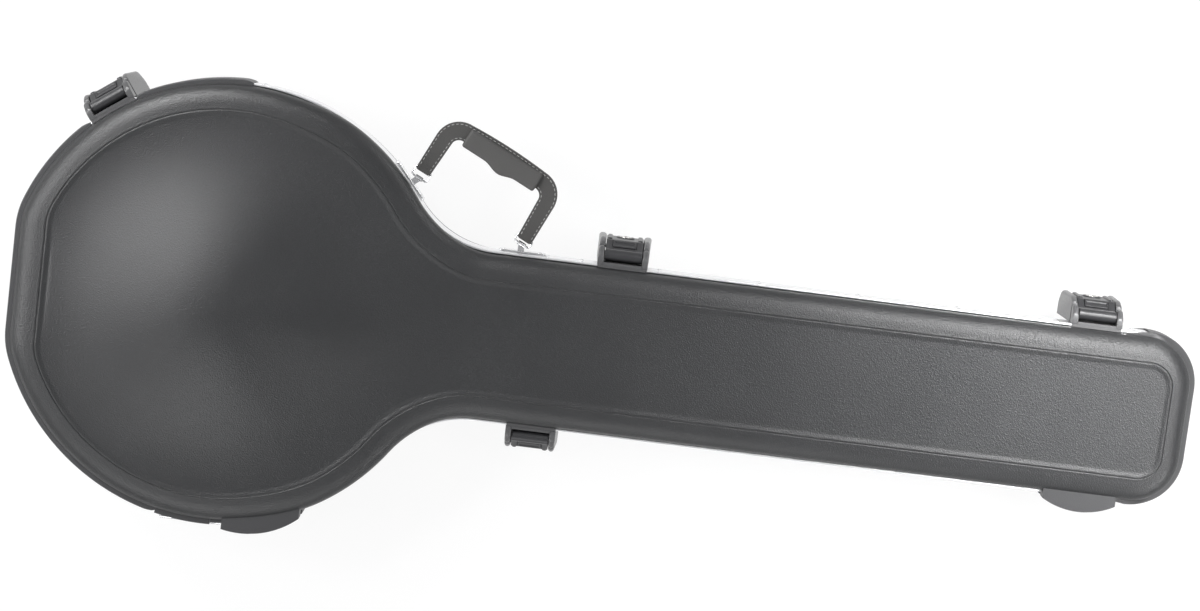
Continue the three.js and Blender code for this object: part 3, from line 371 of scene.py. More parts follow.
def outlineAt(inset, form=caseOutline, neckShares=evenNeck):
    # half of the outline, from the middle of the tail over the handle side to the middle of the
    # head, as arcs that touch: tail flat, tail fillet, bout, waist, neck, head corner; then its
    # mirror
    wider = min(max((inset - form["widerFrom"]) / (form["widerTo"] - form["widerFrom"]), 0), 1)
    bout, waist, half = form["bout"] - inset, form["waist"] + inset, form["neck"] - inset
    tail = form["tail"] - inset - form["tailExtra"] * wider
    head = form["head"] - inset - form["headExtra"] * wider
    corner = form["corner"] - inset - form["cornerExtra"] * wider
    fillet = form["tailFillet"] - inset
    filletX = fillet - tail
    filletY = math.sqrt(max((bout - fillet) ** 2 - filletX**2, 0))
    waistY = half + waist
    waistX = math.sqrt((bout + waist) ** 2 - waistY**2)
    boutStart, boutEnd = math.atan2(filletY, filletX), math.atan2(waistY, waistX)
    n = {k: v + 1 for k, v in pointCounts.items()}
    upper = np.concatenate([
        line((-tail, 0), (-tail, filletY), np.linspace(0, 1, n["flat"]))[:-1],
        arc((filletX, filletY), fillet, halfTurn, boutStart, n["fillet"])[:-1],
        arc((0, 0), bout, boutStart, boutEnd, n["bout"])[:-1],
        arc((waistX, waistY), waist, boutEnd + halfTurn, 3 * quarterTurn, n["waist"])[:-1],
        line((waistX, half), (head - corner, half), neckShares)[:-1],
        arc((head - corner, half - corner), corner, quarterTurn, 0, n["corner"])[:-1],
        line((head, half - corner), (head, 0), np.linspace(0, 1, n["end"])),
    ])
    return np.concatenate([upper, upper[-2:0:-1] * (1, -1)])


def ringsOf(section, **options):
    # one ring of the outline at each inset and height of the section
    return np.stack([
        np.column_stack([ring, np.full(len(ring), height)])
        for ring, height in ((outlineAt(inset, **options), height) for inset, height in section)
    ])


def spineOf(x, ease=60):
    # where the middle line lies for a point of the ring: x^2 / (x + ease), and 0 behind the middle
    return np.where(x > 0, x * x / (np.maximum(x, 0) + ease), 0)


def panelOf(inset, shares, heightOf):
    # the ring drawn toward the middle line by each share: x to its place on the line, y to 0
    x, y = outlineAt(inset).T
    s = np.asarray(shares)[:, None]
    px, py = x + (spineOf(x) - x) * s, y * (1 - s)
    return np.stack([px, py, heightOf(px, py)], -1)


def quarter(start, end, wall, count):
    # quarter ellipse from the top of a wall to the edge of a panel, drawn in by the wall thickness
    a = np.linspace(0, quarterTurn, count)
    rise = end[1] - start[1]
    return np.stack([
        end[0] - (end[0] - start[0] - wall) * np.cos(a),
        start[1] + (rise - math.copysign(wall, rise)) * np.sin(a)], -1)


# line of the rim, for what runs along it: place and outward direction at a distance from the tail
rim = outlineAt(0)
rimGaps = np.linalg.norm(np.roll(rim, -1, 0) - rim, axis=1)
rimLength = rimGaps.sum()
rimStations = np.concatenate([[0], np.cumsum(rimGaps)[:-1]])
rimAhead = np.roll(rim, -1, 0) - np.roll(rim, 1, 0)
rimAhead /= np.linalg.norm(rimAhead, axis=1, keepdims=True)
rimOut = np.stack([-rimAhead[:, 1], rimAhead[:, 0]], -1)


def alongRim(stations):
    # place, outward direction and forward direction on the rim
    both = np.concatenate([rim, rimOut], 1)
    found = np.stack([np.interp(stations, rimStations, c, period=rimLength) for c in both.T], -1)
    out = found[:, 2:] / np.linalg.norm(found[:, 2:], axis=1, keepdims=True)
    return found[:, :2], out, np.stack([out[:, 1], -out[:, 0]], -1)


def stationOf(x, y, tries=9000):
    # distance along the rim of its point nearest to a place
    stations = np.linspace(0, rimLength, tries, endpoint=False)
    return stations[np.argmin(np.hypot(*(alongRim(stations)[0] - (x, y)).T))]


def stationAt(bearing):
    # the same for a bearing from the middle of the bout, in degrees
    a, radius = math.radians(bearing), caseOutline["bout"]
    return stationOf(radius * math.cos(a), radius * math.sin(a))


def rimSweep(section, stations=None, share=1.0):
    # a section of distance out and height carried along the rim, one for all stations or one for
    # each; share draws its distance in, station by station
    closed = stations is None
    where = rimStations if closed else stations
    place, out, _ = alongRim(where)
    section = np.asarray(section, float)
    if section.ndim == 2:
        section = np.repeat(section[:, None], len(where), 1)
    reach = section[..., :1] * np.broadcast_to(share, len(where))[None, :, None]
    grid = np.concatenate([place[None] + reach * out[None], section[..., 1:]], -1)
    return gridShape(grid, closeRows=True, closeCols=closed, capCols=not closed)


# lid and base mouldings

edging = {
    "proud": 2.4, "web": 2, "lidHeight": 12, "baseHeight": 16, "inner": 9, "lidFloor": 1.9,
    "baseFloor": 5, "plane": 0.15, "innerFace": 3.9, "rounding": 0.45,
}
# insets from the outline and heights over the parting; the bead is its start, the outer lip, the
# groove between three points of its own, the inner lip and the end, and the panel starts after it
lidForm = {
    "rim": 2.2, "chamfer": 0.3, "wallFoot": (0.2, 0.22), "wallInset": 0.4, "wall": 14,
    "shoulderInset": 22, "shoulder": 27, "lastShoulder": 19.2, "thickness": 3.5,
    "bead": [(20.5, 27.05), (22.1, 27.3), (23.0, 27.15), (23.4, 26.55), (23.9, 27.15),
             (24.8, 27.3), (25.7, 27.18), (28.6, 26.53)],
    "panel": (30.4, 26.5),
}
domeForm = {"height": 31.1, "radius": 174, "tipShare": 1.695, "crest": 0.14}
# how far the waist stands out, and between which places along X; lean is the share of X from
# which it is pushed, step what the wall rises in before it starts, fade how soon the panel ends it
standing = {"reach": 2.9, "from": 40, "rise": 70, "to": 175, "fall": 70, "middle": 200,
            "lean": 0.45, "step": 0.1, "fade": 4}


def domeRise(x, y):
    # cosine bell of height h: h/2 (1 + cos(pi q / r)); q is the distance from the middle, or,
    # towards the neck, the distance along the normal of a cone that touches the level circles,
    # where |y| + c e^(-|y| / c), c growing with x, rounds the ridge over the middle line
    tangent = math.acos(1 / domeForm["tipShare"])
    onCone = np.arctan2(np.abs(y), x) < tangent
    crest = domeForm["crest"] * np.maximum(x, 0.1)  # kept off 0, which it is divided by
    beside = np.abs(y) + crest * np.exp(-np.abs(y) / crest)
    q = np.where(onCone, x * math.cos(tangent) + beside * math.sin(tangent), np.hypot(x, y))
    return domeForm["height"] * (1 + np.cos(halfTurn * np.minimum(q / domeForm["radius"], 1))) / 2


def lidShoulder(wall, count):
    return quarter((lidForm["wallInset"], parting + lidForm["wall"]),
                   (lidForm["shoulderInset"], parting + lidForm["shoulder"]), wall, count)


def lidPanel(drop, count):
    # the domed panel, drop below its outer face
    inset, height = lidForm["panel"]
    return panelOf(inset, np.linspace(0, 1, count),
                   lambda x, y: parting + height - drop + domeRise(x, y))


lipHeight = parting + edging["lidHeight"]
bead = eased(np.array([*lidForm["bead"], lidForm["panel"]]) + (0, parting))
outerRows = np.concatenate([
    [(lidForm["chamfer"], parting + lidForm["rim"]),
     (0, parting + lidForm["rim"] + lidForm["chamfer"]),
     (lidForm["wallFoot"][0], lipHeight + 0.5 * standing["step"]),
     (lidForm["wallFoot"][1], lipHeight + 1.5 * standing["step"])],
    [row for row in lidShoulder(0, 30) if row[0] < lidForm["lastShoulder"]], bead])
innerRows = np.concatenate([
    [(lidForm["thickness"], parting + lidForm["rim"])], lidShoulder(lidForm["thickness"], 8)])


def standOut(grid, fade=0.0):
    # beside the waist the ring, shoulder and panel edge lie further out: shift = reach * smooth
    # rise from the bout's sides * smooth fall along the neck * (1 - fade), above the edging
    x, y, z = np.moveaxis(grid, -1, 0)
    rise = smooth((x - standing["from"]) / standing["rise"])
    fall = 1 - smooth((x - standing["to"]) / standing["fall"])
    shift = standing["reach"] * rise * fall * (z > lipHeight + standing["step"])
    shift = shift * (1 - np.reshape(fade, (-1, 1)))
    middleX = np.where(x > 0, np.minimum(x, standing["middle"]) * standing["lean"], x)
    away = np.stack([x - middleX, y, 0 * x], -1)
    away /= np.maximum(np.linalg.norm(away, axis=-1, keepdims=True), 1)
    return grid + shift[..., None] * away


panelRows = 42
panelFade = np.minimum(np.linspace(0, 1, panelRows) * standing["fade"], 1)
lidSkin = np.concatenate([
    standOut(lidPanel(0, panelRows), panelFade)[::-1], standOut(ringsOf(outerRows[:-1]))[::-1],
    ringsOf(innerRows), lidPanel(lidForm["thickness"], 14)])
makePiece("lid_moulding", [gridShape(lidSkin, closeCols=True)], "pebbled_abs", "lid",
          ["lid_shell"], crease=60)

# insets and heights from the back; the edge of the back is its flat band and a step to the recess
baseForm = {
    "rimDrop": 5.3, "cornerHeight": 26, "wallInset": 4, "backInset": 24, "thickness": 3.5,
    "recess": (28.8, 1.6), "backEdge": [(28.0, 0.2), (27, 0), (25.5, 0)],
}


def baseCorner(wall, count):
    return quarter((baseForm["wallInset"], baseForm["cornerHeight"]), (baseForm["backInset"], 0),
                   wall, count)


def backPanel(height, count=6):
    return panelOf(baseForm["recess"][0], np.linspace(0, 1, count), lambda x, y: height + 0 * x)


baseTop = parting - baseForm["rimDrop"]
recessInset, recessHeight = baseForm["recess"]
outerRows = np.concatenate([
    eased([baseForm["recess"], *baseForm["backEdge"]]), baseCorner(0, 16)[::-1], [(0, baseTop)]])
innerRows = np.concatenate([
    [(baseForm["thickness"], baseTop)], baseCorner(baseForm["thickness"], 6),
    [(recessInset, recessHeight + baseForm["thickness"])]])
baseSkin = np.concatenate([
    backPanel(recessHeight)[::-1], ringsOf(outerRows[1:]), ringsOf(innerRows),
    backPanel(recessHeight + baseForm["thickness"])])
makePiece("base_moulding", [gridShape(baseSkin, closeCols=True)], "pebbled_abs", "base",
          ["base_shell"], crease=60)
print("mouldings done")

# aluminium edging

# the strip by which each half crosses the parting: inner and outer inset, and the height that it
# reaches. Known faults: the base's goes 3 up, where the solid has a groove 3 deep, and with the
# inner inset first both strips run against the rest of their section.
crossing = {"lid": (2.6, 1.2, -2.4), "base": (3.7, 0.3, 3)}


def edgingSection(up, height, floor, strip):
    # section as distance out and height: outer web, floor and inner web, and the crossing strip
    e = edging
    outer, inside, back = e["web"] - e["proud"], e["innerFace"], e["innerFace"] + e["web"]
    start, end, reach = strip
    rows = np.array([
        (-e["proud"], e["plane"]), (-e["proud"], height), (outer, height), (outer, floor),
        (inside, floor), (inside, e["inner"]), (back, e["inner"]), (back, e["plane"]),
        (end, e["plane"]), (end, reach * up), (start, reach * up), (start, e["plane"])])
    return rounded(rows * (-1, up) + (0, parting), e["rounding"], 3)


for half, up in (("lid", 1), ("base", -1)):
    section = edgingSection(up, edging[f"{half}Height"], edging[f"{half}Floor"], crossing[half])
    makePiece(f"{half}_edging", [rimSweep(section)], "brushed_aluminium", half,
              [f"{half}_valance"])
print("edging done")

# bumpers round the tail and the head

# the strip's section, its rounded edges and the lengths over which its ends draw in
bumper = {
    "proud": 5, "ledge": 1.7, "root": -1.5, "middle": 2.6, "gap": 0.3, "foot": 0.3, "edge": 1.6,
    "slope": [(5, 8.6), (1.2, 14.4), (-2.2, 19.1)], "slopeEdge": 2.2, "slopeRun": 26,
    "ledgeEdge": 0.6, "pitch": 2.4, "tip": 0.52, "fade": 9, "headTip": 0.76, "headFade": 30,
}
latchWidth, latchBearing, latchRoom = 47, 126, 1.2
latchHalf = math.degrees(math.asin(
    (latchWidth / 2 + latchRoom) / (caseOutline["bout"] + edging["proud"])))
headStart = stationOf(caseOutline["head"] - caseOutline["corner"], caseOutline["neck"])
bumperRuns = [
    (stationAt(latchBearing - latchHalf), stationAt(88.4)),
    (stationAt(-102.2) - rimLength, stationAt(latchBearing + latchHalf)),
    (headStart, rimLength - headStart),
]
# stations of the two ends and the share of the reach at each
ledgeRuns = [
    (stationAt(-87.6) - rimLength, stationAt(-102.2) - rimLength - 0.05, 1.0, 1.0),
    (stationAt(-83.6) - rimLength, stationAt(-87.6) - rimLength - 0.5, 0.62, 0.62),
    (headStart - 22, headStart - 0.05, 0.15, 0.76),
    (rimLength - headStart + 0.05, rimLength - headStart + 22, 0.76, 0.15),
]


def bumperShapes(up, edge):
    # a square-shouldered strip over the edging, with a ledge on top that turns in to the moulding;
    # round the head of the lid it slopes up to the moulding instead, and beside the hinge and the
    # head there is only the ledge, whose reach goes from one share to another
    root, middle, proud, gap = (bumper[k] for k in ("root", "middle", "proud", "gap"))
    inner, top = edging["proud"] + gap, edge + bumper["ledge"]
    foot = [(root, edge + gap), (inner, edge + gap), (inner, gap), (proud, gap)]

    def cut(rows, edgeRadius):
        radius = np.full(len(rows), bumper["foot"])
        radius[-3:-1] = edgeRadius
        return rounded(np.array(rows) * (1, up) + (0, parting), radius, 6)

    strip = cut([*foot, (proud, top), (middle, top), (root, top)], bumper["edge"])
    sloped = cut([*foot, *bumper["slope"]], bumper["slopeEdge"])
    ledge = cut([(root, edge + gap), (proud, edge + gap), (proud, top), (root, top)],
                bumper["ledgeEdge"])
    shapes = []
    for start, end in bumperRuns:
        stations = np.append(np.arange(start, end, bumper["pitch"]), end)
        toEnd = np.minimum(stations - start, end - stations)
        share = np.sqrt(np.clip(toEnd / bumper["fade"], 0, 1))
        share = bumper["tip"] + (1 - bumper["tip"]) * share
        section = np.repeat(strip[:, None], len(stations), 1)
        if start == headStart:
            share = bumper["headTip"] + (1 - bumper["headTip"]) * smooth(toEnd / bumper["headFade"])
            if up > 0:
                slopeShare = smooth(toEnd / bumper["slopeRun"])[None, :, None]
                section = section + (sloped - strip)[:, None] * slopeShare
        shapes.append(rimSweep(section, stations, share))
    for start, end, first, last in ledgeRuns:
        stations = np.append(np.arange(start, end, bumper["pitch"]), end)
        share = first + (last - first) * (stations - start) / (end - start)
        shapes.append(rimSweep(ledge, stations, share))
    return shapes


for half, up in (("lid", 1), ("base", -1)):
    makePiece(f"{half}_bumpers", bumperShapes(up, edging[f"{half}Height"]), "smooth_abs", half)
print("bumpers done")

# rivets through the edging

rivet = {"radius": 2.1, "proud": 0.75, "dome": [(0.9, 0.93), (1.6, 0.66)], "edge": 0.1,
         "root": -0.6, "spacing": 84, "lid": 6.5, "base": -8.5}
rivetHead = turned([
    (0, rivet["proud"]), *((r, rivet["proud"] * share) for r, share in rivet["dome"]),
    (rivet["radius"], rivet["edge"]), (rivet["radius"], rivet["root"]), (0, rivet["root"])], 14)


def onRim(stations, height, out=edging["proud"]):
    # places on the outer face of the edging, with axes forward, up and out
    place, outward, ahead = alongRim(np.asarray(stations, float))
    flat = place + out * outward
    centres = np.column_stack([flat, np.full(len(flat), height)])
    zero = np.zeros((len(flat), 1))
    up = np.tile([0.0, 0.0, 1.0], (len(flat), 1))
    return centres, np.stack([np.hstack([ahead, zero]), up, np.hstack([outward, zero])], 1)


neckY = caseOutline["neck"]
rivetRuns = [
    (stationAt(86), stationAt(46)), (stationOf(268, neckY) + 26, stationOf(330, neckY) - 4),
    (stationOf(400, neckY), stationOf(774, neckY)), (stationOf(845, neckY), headStart - 6),
    (stationOf(780, -neckY), stationOf(345, -neckY)), (stationOf(248, -neckY), stationAt(-56)),
]
rivetStations = np.concatenate([
    np.linspace(a, b, max(int(abs(b - a) / rivet["spacing"]) + 1, 2)) for a, b in rivetRuns])
for half in ("lid", "base"):
    spots = onRim(rivetStations, parting + rivet[half])
    makePiece(f"{half}_rivets", [scattered(rivetHead, *spots)], "plated_steel", half)
print("rivets:", 2 * len(rivetStations))

# plush-covered foam

lining = {"gap": 0.4, "inset": 6.6, "edge": 1, "turn": 9, "thickness": 7, "round": 3, "fill": 0.9}
lidFace = lidForm["thickness"] + lining["gap"]
lidBack = lidFace + lining["thickness"]
low, high = parting + lining["edge"], parting + lining["edge"] + lining["turn"]
near, far = lining["inset"], lining["inset"] + lining["thickness"]
outerRows, innerRows = lidShoulder(lidFace, 10), lidShoulder(lidBack, 12)
outerRows[:, 0] = np.maximum(outerRows[:, 0], near)
innerRows[:, 0] = np.maximum(innerRows[:, 0], far)
edgeRows = rounded([(near, high), (near, low), (far, low), (far, high)], lining["round"], 5)[6:18]
lidPad = np.concatenate([
    lidPanel(lidFace, 12)[::-1], ringsOf(outerRows[::-1]), ringsOf(edgeRows), ringsOf(innerRows),
    lidPanel(lidBack, 24)])
makePiece("lid_padding", [gridShape(lidPad, closeCols=True)], "black_plush", "lid",
                    ["lid_liner"], crease=70)

well = {
    "bout": 176, "tail": 176, "tailFillet": 60, "waist": 8, "neck": 56, "head": 889.5, "corner": 30,
    "widerFrom": 1e6, "widerTo": 2e6, "tailExtra": 0, "headExtra": 0, "cornerExtra": 0,
}
pocket = {"x": (262, 402), "y": (-27, 31), "lip": 5, "floor": 12, "rebate": 39.7, "blend": 1.2}
# heights and roundings, then what shapes the floor's lines: how soon they straighten round the
# pot and, from a place along X, in its mouth, and how far they draw back towards the head
foam = {
    "potFloor": 14, "neckFloor": 44.5, "top": 99, "edge": 4.0, "fillet": 4.0, "backEdge": 2.5,
    "potTurn": 8, "mouthFrom": 180, "mouthRun": 55, "drawBack": 45, "drawFrom": 420, "drawRun": 465,
}
blendSteps = np.array([-0.6, -0.3, 0, 0.3, 0.6])
# where the neck's straight wall meets the waist's arc, from the radii of bout and waist
mouthY = well["neck"] + well["waist"]
mouthX = math.sqrt((well["bout"] + well["waist"]) ** 2 - mouthY**2)
neckTo = well["head"] - well["corner"]
halfFloor = well["neck"] - foam["fillet"]


def withLip(span):
    return span[0] - pocket["lip"], span[1] + pocket["lip"]


def steps(span):
    # lines close together at each wall of the compartment and of the rebate round it
    return np.concatenate([u + blendSteps for u in sorted((*span, *withLip(span)))])


def lines(*runs):
    return np.unique(np.round(np.concatenate(runs), 3))


neckX = lines(np.arange(mouthX, 250, 3.5), steps(pocket["x"]), np.linspace(250, 415, 22),
              np.linspace(420, neckTo, 34))
wellShares = (neckX - neckX[0]) / (neckX[-1] - neckX[0])
floorY = lines(*(abs(y) + blendSteps for y in (*pocket["y"], *withLip(pocket["y"]))),
               np.linspace(0, halfFloor, 16))[::-1]


def inside(u, span):
    # 1 between low and high, with a smooth step as wide as the blend at each
    low, high = span
    w = pocket["blend"]
    return smooth((u - low + w / 2) / w) * smooth((high + w / 2 - u) / w)


def pocketSink(x, y):
    # rebate for the flap, then the compartment itself, each with a short steep wall
    rebate = inside(x, withLip(pocket["x"])) * inside(y, withLip(pocket["y"]))
    deep = inside(x, pocket["x"]) * inside(y, pocket["y"])
    return ((foam["neckFloor"] - pocket["rebate"]) * rebate
            + (pocket["rebate"] - pocket["floor"]) * deep)


def wellRing(inset, height):
    # the ring of the well at an inset; height is one number, or one for each point
    ring = outlineAt(inset, well, wellShares)
    return np.column_stack([ring, height + np.zeros(len(ring))])


def basePadding():
    # rings: back, outer side, top face, rounded edge of the well, its wall, a fillet, the floor
    face = baseForm["thickness"] + lining["gap"]
    bottom = recessHeight + face
    top, low = foam["top"], foam["top"] - 30
    edge = rounded([(20, low), (lining["inset"], low), (lining["inset"], top), (20, top)],
                   foam["backEdge"], 4)[10:15]
    x = outlineAt(recessInset, neckShares=wellShares)[:, 0]
    back = np.stack([spineOf(x), 0 * x, 0 * x + bottom], -1)[None]
    section = np.concatenate([[(recessInset, bottom)], baseCorner(face, 6)[::-1], edge])
    outer = np.concatenate([back, ringsOf(section, neckShares=wellShares)])

    # the floor rises from the pot to the neck beside the waist
    boutEnd = pointCounts["flat"] + pointCounts["fillet"] + pointCounts["bout"]
    index = np.arange(outer.shape[1])
    fold = np.minimum(index, len(index) - index)
    onNeck = smooth((fold - boutEnd) / pointCounts["waist"])
    floor = foam["potFloor"] + (foam["neckFloor"] - foam["potFloor"]) * onNeck

    roundEdge, fillet = foam["edge"], foam["fillet"]
    wallTop, wallLow = top - roundEdge, floor + fillet
    angles = np.linspace(0, quarterTurn, 6)
    inner = [wellRing(-roundEdge * (1 - math.sin(a)), top - roundEdge * (1 - math.cos(a)))
             for a in angles]
    inner += [wellRing(0, wallTop + (wallLow - wallTop) * share) for share in (0.25, 0.5, 0.75)]
    inner += [wellRing(fillet * (1 - math.cos(a)), wallLow - fillet * math.sin(a)) for a in angles]
    between = [outer[-1] + (inner[0] - outer[-1]) * share for share in (0.35, 0.7)]

    # the rings of the floor move in sideways to the middle line, and each point along X too: on
    # the wall's circle at first, then straight to its place on the middle line
    x, y = wellRing(fillet, 0)[:, :2].T
    mouth = math.atan2(mouthY, mouthX)
    turn = (np.arctan2(np.abs(y), x) - mouth) / (halfTurn - mouth)
    onPot = fold <= boutEnd
    target = np.where(onPot, (well["bout"] - fillet) * np.cos(np.clip(turn, 0, 1) * halfTurn),
                      x - foam["drawBack"] * smooth((x - foam["drawFrom"]) / foam["drawRun"]))
    bend = np.where(onPot, smooth(1 - turn * foam["potTurn"]),
                    smooth(1 - (x - foam["mouthFrom"]) / foam["mouthRun"]))
    rows = []
    for keep in floorY[1:] / halfFloor:
        py = y * keep
        straight = x + (target - x) * (1 - keep)
        curved = np.sqrt(np.maximum(x**2 + y**2 - py**2, 0))
        px = straight + (curved - straight) * bend
        rows.append(np.stack([px, py, floor - pocketSink(px, py)], -1))
    return np.concatenate([outer, between, inner, rows])


makePiece("base_padding", [gridShape(basePadding(), closeCols=True)], "black_plush",
                    "base", [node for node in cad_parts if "_liner_" in node],
                    crease=50)

cradle = {"start": 424, "length": 30, "top": 86, "half": 55.5, "low": 44.8, "notch": 26,
          "notchLow": 56, "lean": 1, "corners": [0.5, 0.5, 6, 5, 20, 20, 5, 6], "bevel": 2.6}
half, notch, top = cradle["half"], cradle["notch"], cradle["top"]
front = rounded([
    (-half, cradle["low"]), (half, cradle["low"]), (half, top), (notch + cradle["lean"], top),
    (notch, cradle["notchLow"]), (-notch, cradle["notchLow"]), (-notch - cradle["lean"], top),
    (-half, top)], cradle["corners"], 10)
cradleShape = sideways(front, cradle["start"], cradle["start"] + cradle["length"])
makePiece("cradle_padding", [cradleShape], "black_plush", "base",
                    ["neck_cradle"], bevel=cradle["bevel"], segments=4)

# plates by their half sizes, corner and section of inset and height
flap = {
    "edge": 4.4, "corner": 4,
    "section": [(1.2, 40), (0.35, 40.3), (0, 41.2), (0, 42.9), (0.4, 43.8), (1.5, 44.4),
                (4, 44.5), (9, 44.5)],
}
(flapX, halfX), (flapY, halfY) = (
    ((low + high) / 2, (high - low) / 2 + flap["edge"]) for low, high in (pocket["x"], pocket["y"]))
flapShape = placed(plate(halfX, halfY, flap["corner"], flap["section"], 6), np.eye(3),
                   (flapX, flapY, 0))
makePiece("compartment_flap_pad", [flapShape], "black_plush", "compartment_flap",
                    ["compartment_lid"], crease=60)

pull = {
    "length": 22, "width": 18, "corner": 4, "low": 44.8, "end": 34.4,
    "section": [(0.5, 0), (0, 0.4), (0, 0.8), (0.5, 1.2), (1.8, 1.2), (2.2, 1.0), (4, 1.0)],
}
pullShape = placed(
    plate(pull["width"] / 2, pull["length"] / 2, pull["corner"], pull["section"], 6), np.eye(3),
    (flapX, pull["end"] - pull["length"] / 2, pull["low"]))
makePiece("flap_pull", [pullShape], "strap_leatherette", "compartment_flap",
          ["compartment_pull"], crease=50)
print("foam done")

# latches

# side views are pairs of distance out from the wall and height over the parting, with the radius
# of each corner
latch = {
    "width": latchWidth, "cheek": 5.5, "back": 2.5, "reach": 24.5, "topReach": 20.5, "top": 1.5,
    "slopeDrop": 9, "bottom": 68, "footReach": 14, "footRise": 10, "gap": 0.3, "sideGap": 0.6,
    "corners": [0.5, 4, 4, 4, 2.5, 0.3], "step": [(0.3, -65), (6.5, -65), (6.5, -63.4), (0.3, -57)],
    "pivot": (12, -56), "pin": 2, "bore": 2.35, "bevel": 0.7, "flare": 1.6, "flareFrom": 8,
    "flareRun": 50, "overlap": 0.5,
    "pinHead": [(0, 0.75), (1.4, 0.68), (2.4, 0.42), (2.9, 0.05), (2.9, -1.2), (0, -1.2)],
}
keeper = {
    "side": [(0.3, 2.5), (17.5, 2.5), (17.5, 7.5), (10, 14), (0.3, 14)],
    "corners": [0.3, 1.5, 2, 2.5, 0.8], "back": (0.3, 2.8, 2.5, 14), "lip": (12.15, 13.7),
    "lipFront": 1.5, "lipGap": 0.4,
}
lever = {
    "front": 22.8, "topFront": 15.4, "topDrop": 0.5, "barrel": (9.8, 6.5), "barrelRadius": 5.5,
    "barrelTurn": (-0.28, 1.25), "inner": [(8.5, -3), (13.5, -16), (15.5, -24), (15.5, -44)],
    "boss": 8, "bossShoulder": 5, "frontStart": (20, -51.5), "frontEnd": 50,
    "slopeTop": (17.2, -1.8), "corners": [0.2, 1.5, 1.2, 0.2],
    "nose": [(15.1, 0.2), (14.1, 0.5), (13.4, 1.3)], "bevel": 0.5,
    "rib": (12.2, 16.6, 1.4), "ribHalf": 18.5, "ribCorner": 2.1, "ribHeight": -30,
    "collar": (8.6, 1.1),
}
trigger = {"half": 11.5, "height": 9, "drop": 5, "depth": 4.2, "slack": 0.4, "proud": 0.8,
           "corner": 1.2}
lock = {"radius": 6, "slack": 0.35, "drop": 36, "proud": 1.4, "floor": 17.2, "lift": 0.5,
        "rim": 1.5, "core": 2.9, "slit": (0.7, 4, 0.3, 2)}
latchPlaces = [
    ("bout_latch", latchBearing, None), ("neck_latch", 90, (364.5751, 80.4)),
    ("head_latch", 90, (809, 80.4)), ("waist_latch", -90, (298.5751, -80.4)),
]
slope = math.atan2(lever["front"] - lever["topFront"], 2 * (trigger["drop"] - lever["topDrop"]))
slopeUp, slopeAway = (0, math.cos(slope), math.sin(slope)), (0, -math.sin(slope), math.cos(slope))
slopeOut = ([1, 0, 0], slopeAway, slopeUp)
slopeMiddle = (0, (lever["front"] + lever["topFront"]) / 2, -trigger["drop"])
facing = ([1, 0, 0], [0, 0, 1], [0, 1, 0])
acrossX = ([0, 1, 0], [0, 0, 1], [1, 0, 0])


def cheek(side, middle, tip, outward=0):
    # a side view carried across the cheek: towards both faces the tip draws back on a half round,
    # y' = y (1 - r (1 - cos a) / tip), and the outer face leans out towards the foot
    half = latch["cheek"] / 2
    a = np.linspace(-quarterTurn, quarterTurn, 11)[None]
    y, z = side[:, :1], side[:, 1:]
    lean = latch["flare"] * smooth((-z - latch["flareFrom"]) / latch["flareRun"])
    x = middle + half * np.sin(a) + outward * lean * (outward * np.sin(a) + 1) / 2
    return gridShape(np.stack([x, y * (1 - half * (1 - np.cos(a)) / tip), z + 0 * a], -1),
                     closeRows=True, capCols=True)


def cheeksAndBack(side, tip, outward, *between):
    # two cheeks, and what runs from one to the other
    half, inside = latch["width"] / 2, latch["width"] / 2 - latch["cheek"]
    middle, reach = (half + inside) / 2, inside + latch["overlap"]
    return [cheek(side, -middle, tip, -outward), cheek(side, middle, tip, outward),
            *(sideways(outline, -reach, reach) for outline in between)]


def housingShapes():
    # two cheeks with sloped feet and noses, and the back plate and a step between them
    gap, foot = latch["gap"], -latch["bottom"]
    side = rounded([
        (gap, foot), (latch["footReach"], foot), (latch["reach"], latch["footRise"] + foot),
        (latch["reach"], -latch["top"] - latch["slopeDrop"]), (latch["topReach"], -latch["top"]),
        (gap, -latch["top"])], latch["corners"], 5)
    back = box(gap, gap + latch["back"], foot, -latch["top"])
    return cheeksAndBack(side, latch["reach"], 1, back, rounded(latch["step"], 0.5, 3))


def keeperShapes(radius):
    # cheeks with a sloped top, a plate at the back and a lip over the edging to the lid's wall
    end = latch["width"] / 2 - keeper["lipGap"]
    x = np.linspace(end, -end, 17)
    wall = (np.sqrt(radius**2 - x**2) - radius if radius else 0 * x) - edging["proud"]
    lip = np.concatenate([[(-end, keeper["lipFront"]), (end, keeper["lipFront"])],
                          np.stack([x, wall], -1)])
    return [*cheeksAndBack(rounded(keeper["side"], keeper["corners"], 5), keeper["side"][1][0], 0,
                           box(*keeper["back"])), prism(lip, *keeper["lip"])]


def leverShape():
    # side view of the lever: round barrel, inner face, boss on the pivot, flat front, sloped face
    shoulder = halfTurn - math.asin(lever["bossShoulder"] / lever["boss"])
    front = lever["front"]
    barrelStart, barrelEnd = (halfTurn * turn for turn in lever["barrelTurn"])
    side = np.concatenate([
        arc(lever["barrel"], lever["barrelRadius"], barrelStart, barrelEnd, 30),
        lever["inner"], arc(latch["pivot"], lever["boss"], shoulder, 2 * halfTurn, 22),
        rounded([lever["frontStart"], (front, -lever["frontEnd"]),
                 (front, lever["topDrop"] - 2 * trigger["drop"]), lever["slopeTop"]],
                lever["corners"], 5)[6:18],
        [(lever["topFront"], -lever["topDrop"])], lever["nose"]])
    half = latch["width"] / 2 - latch["cheek"] - latch["sideGap"]
    return sideways(side, -half, half)


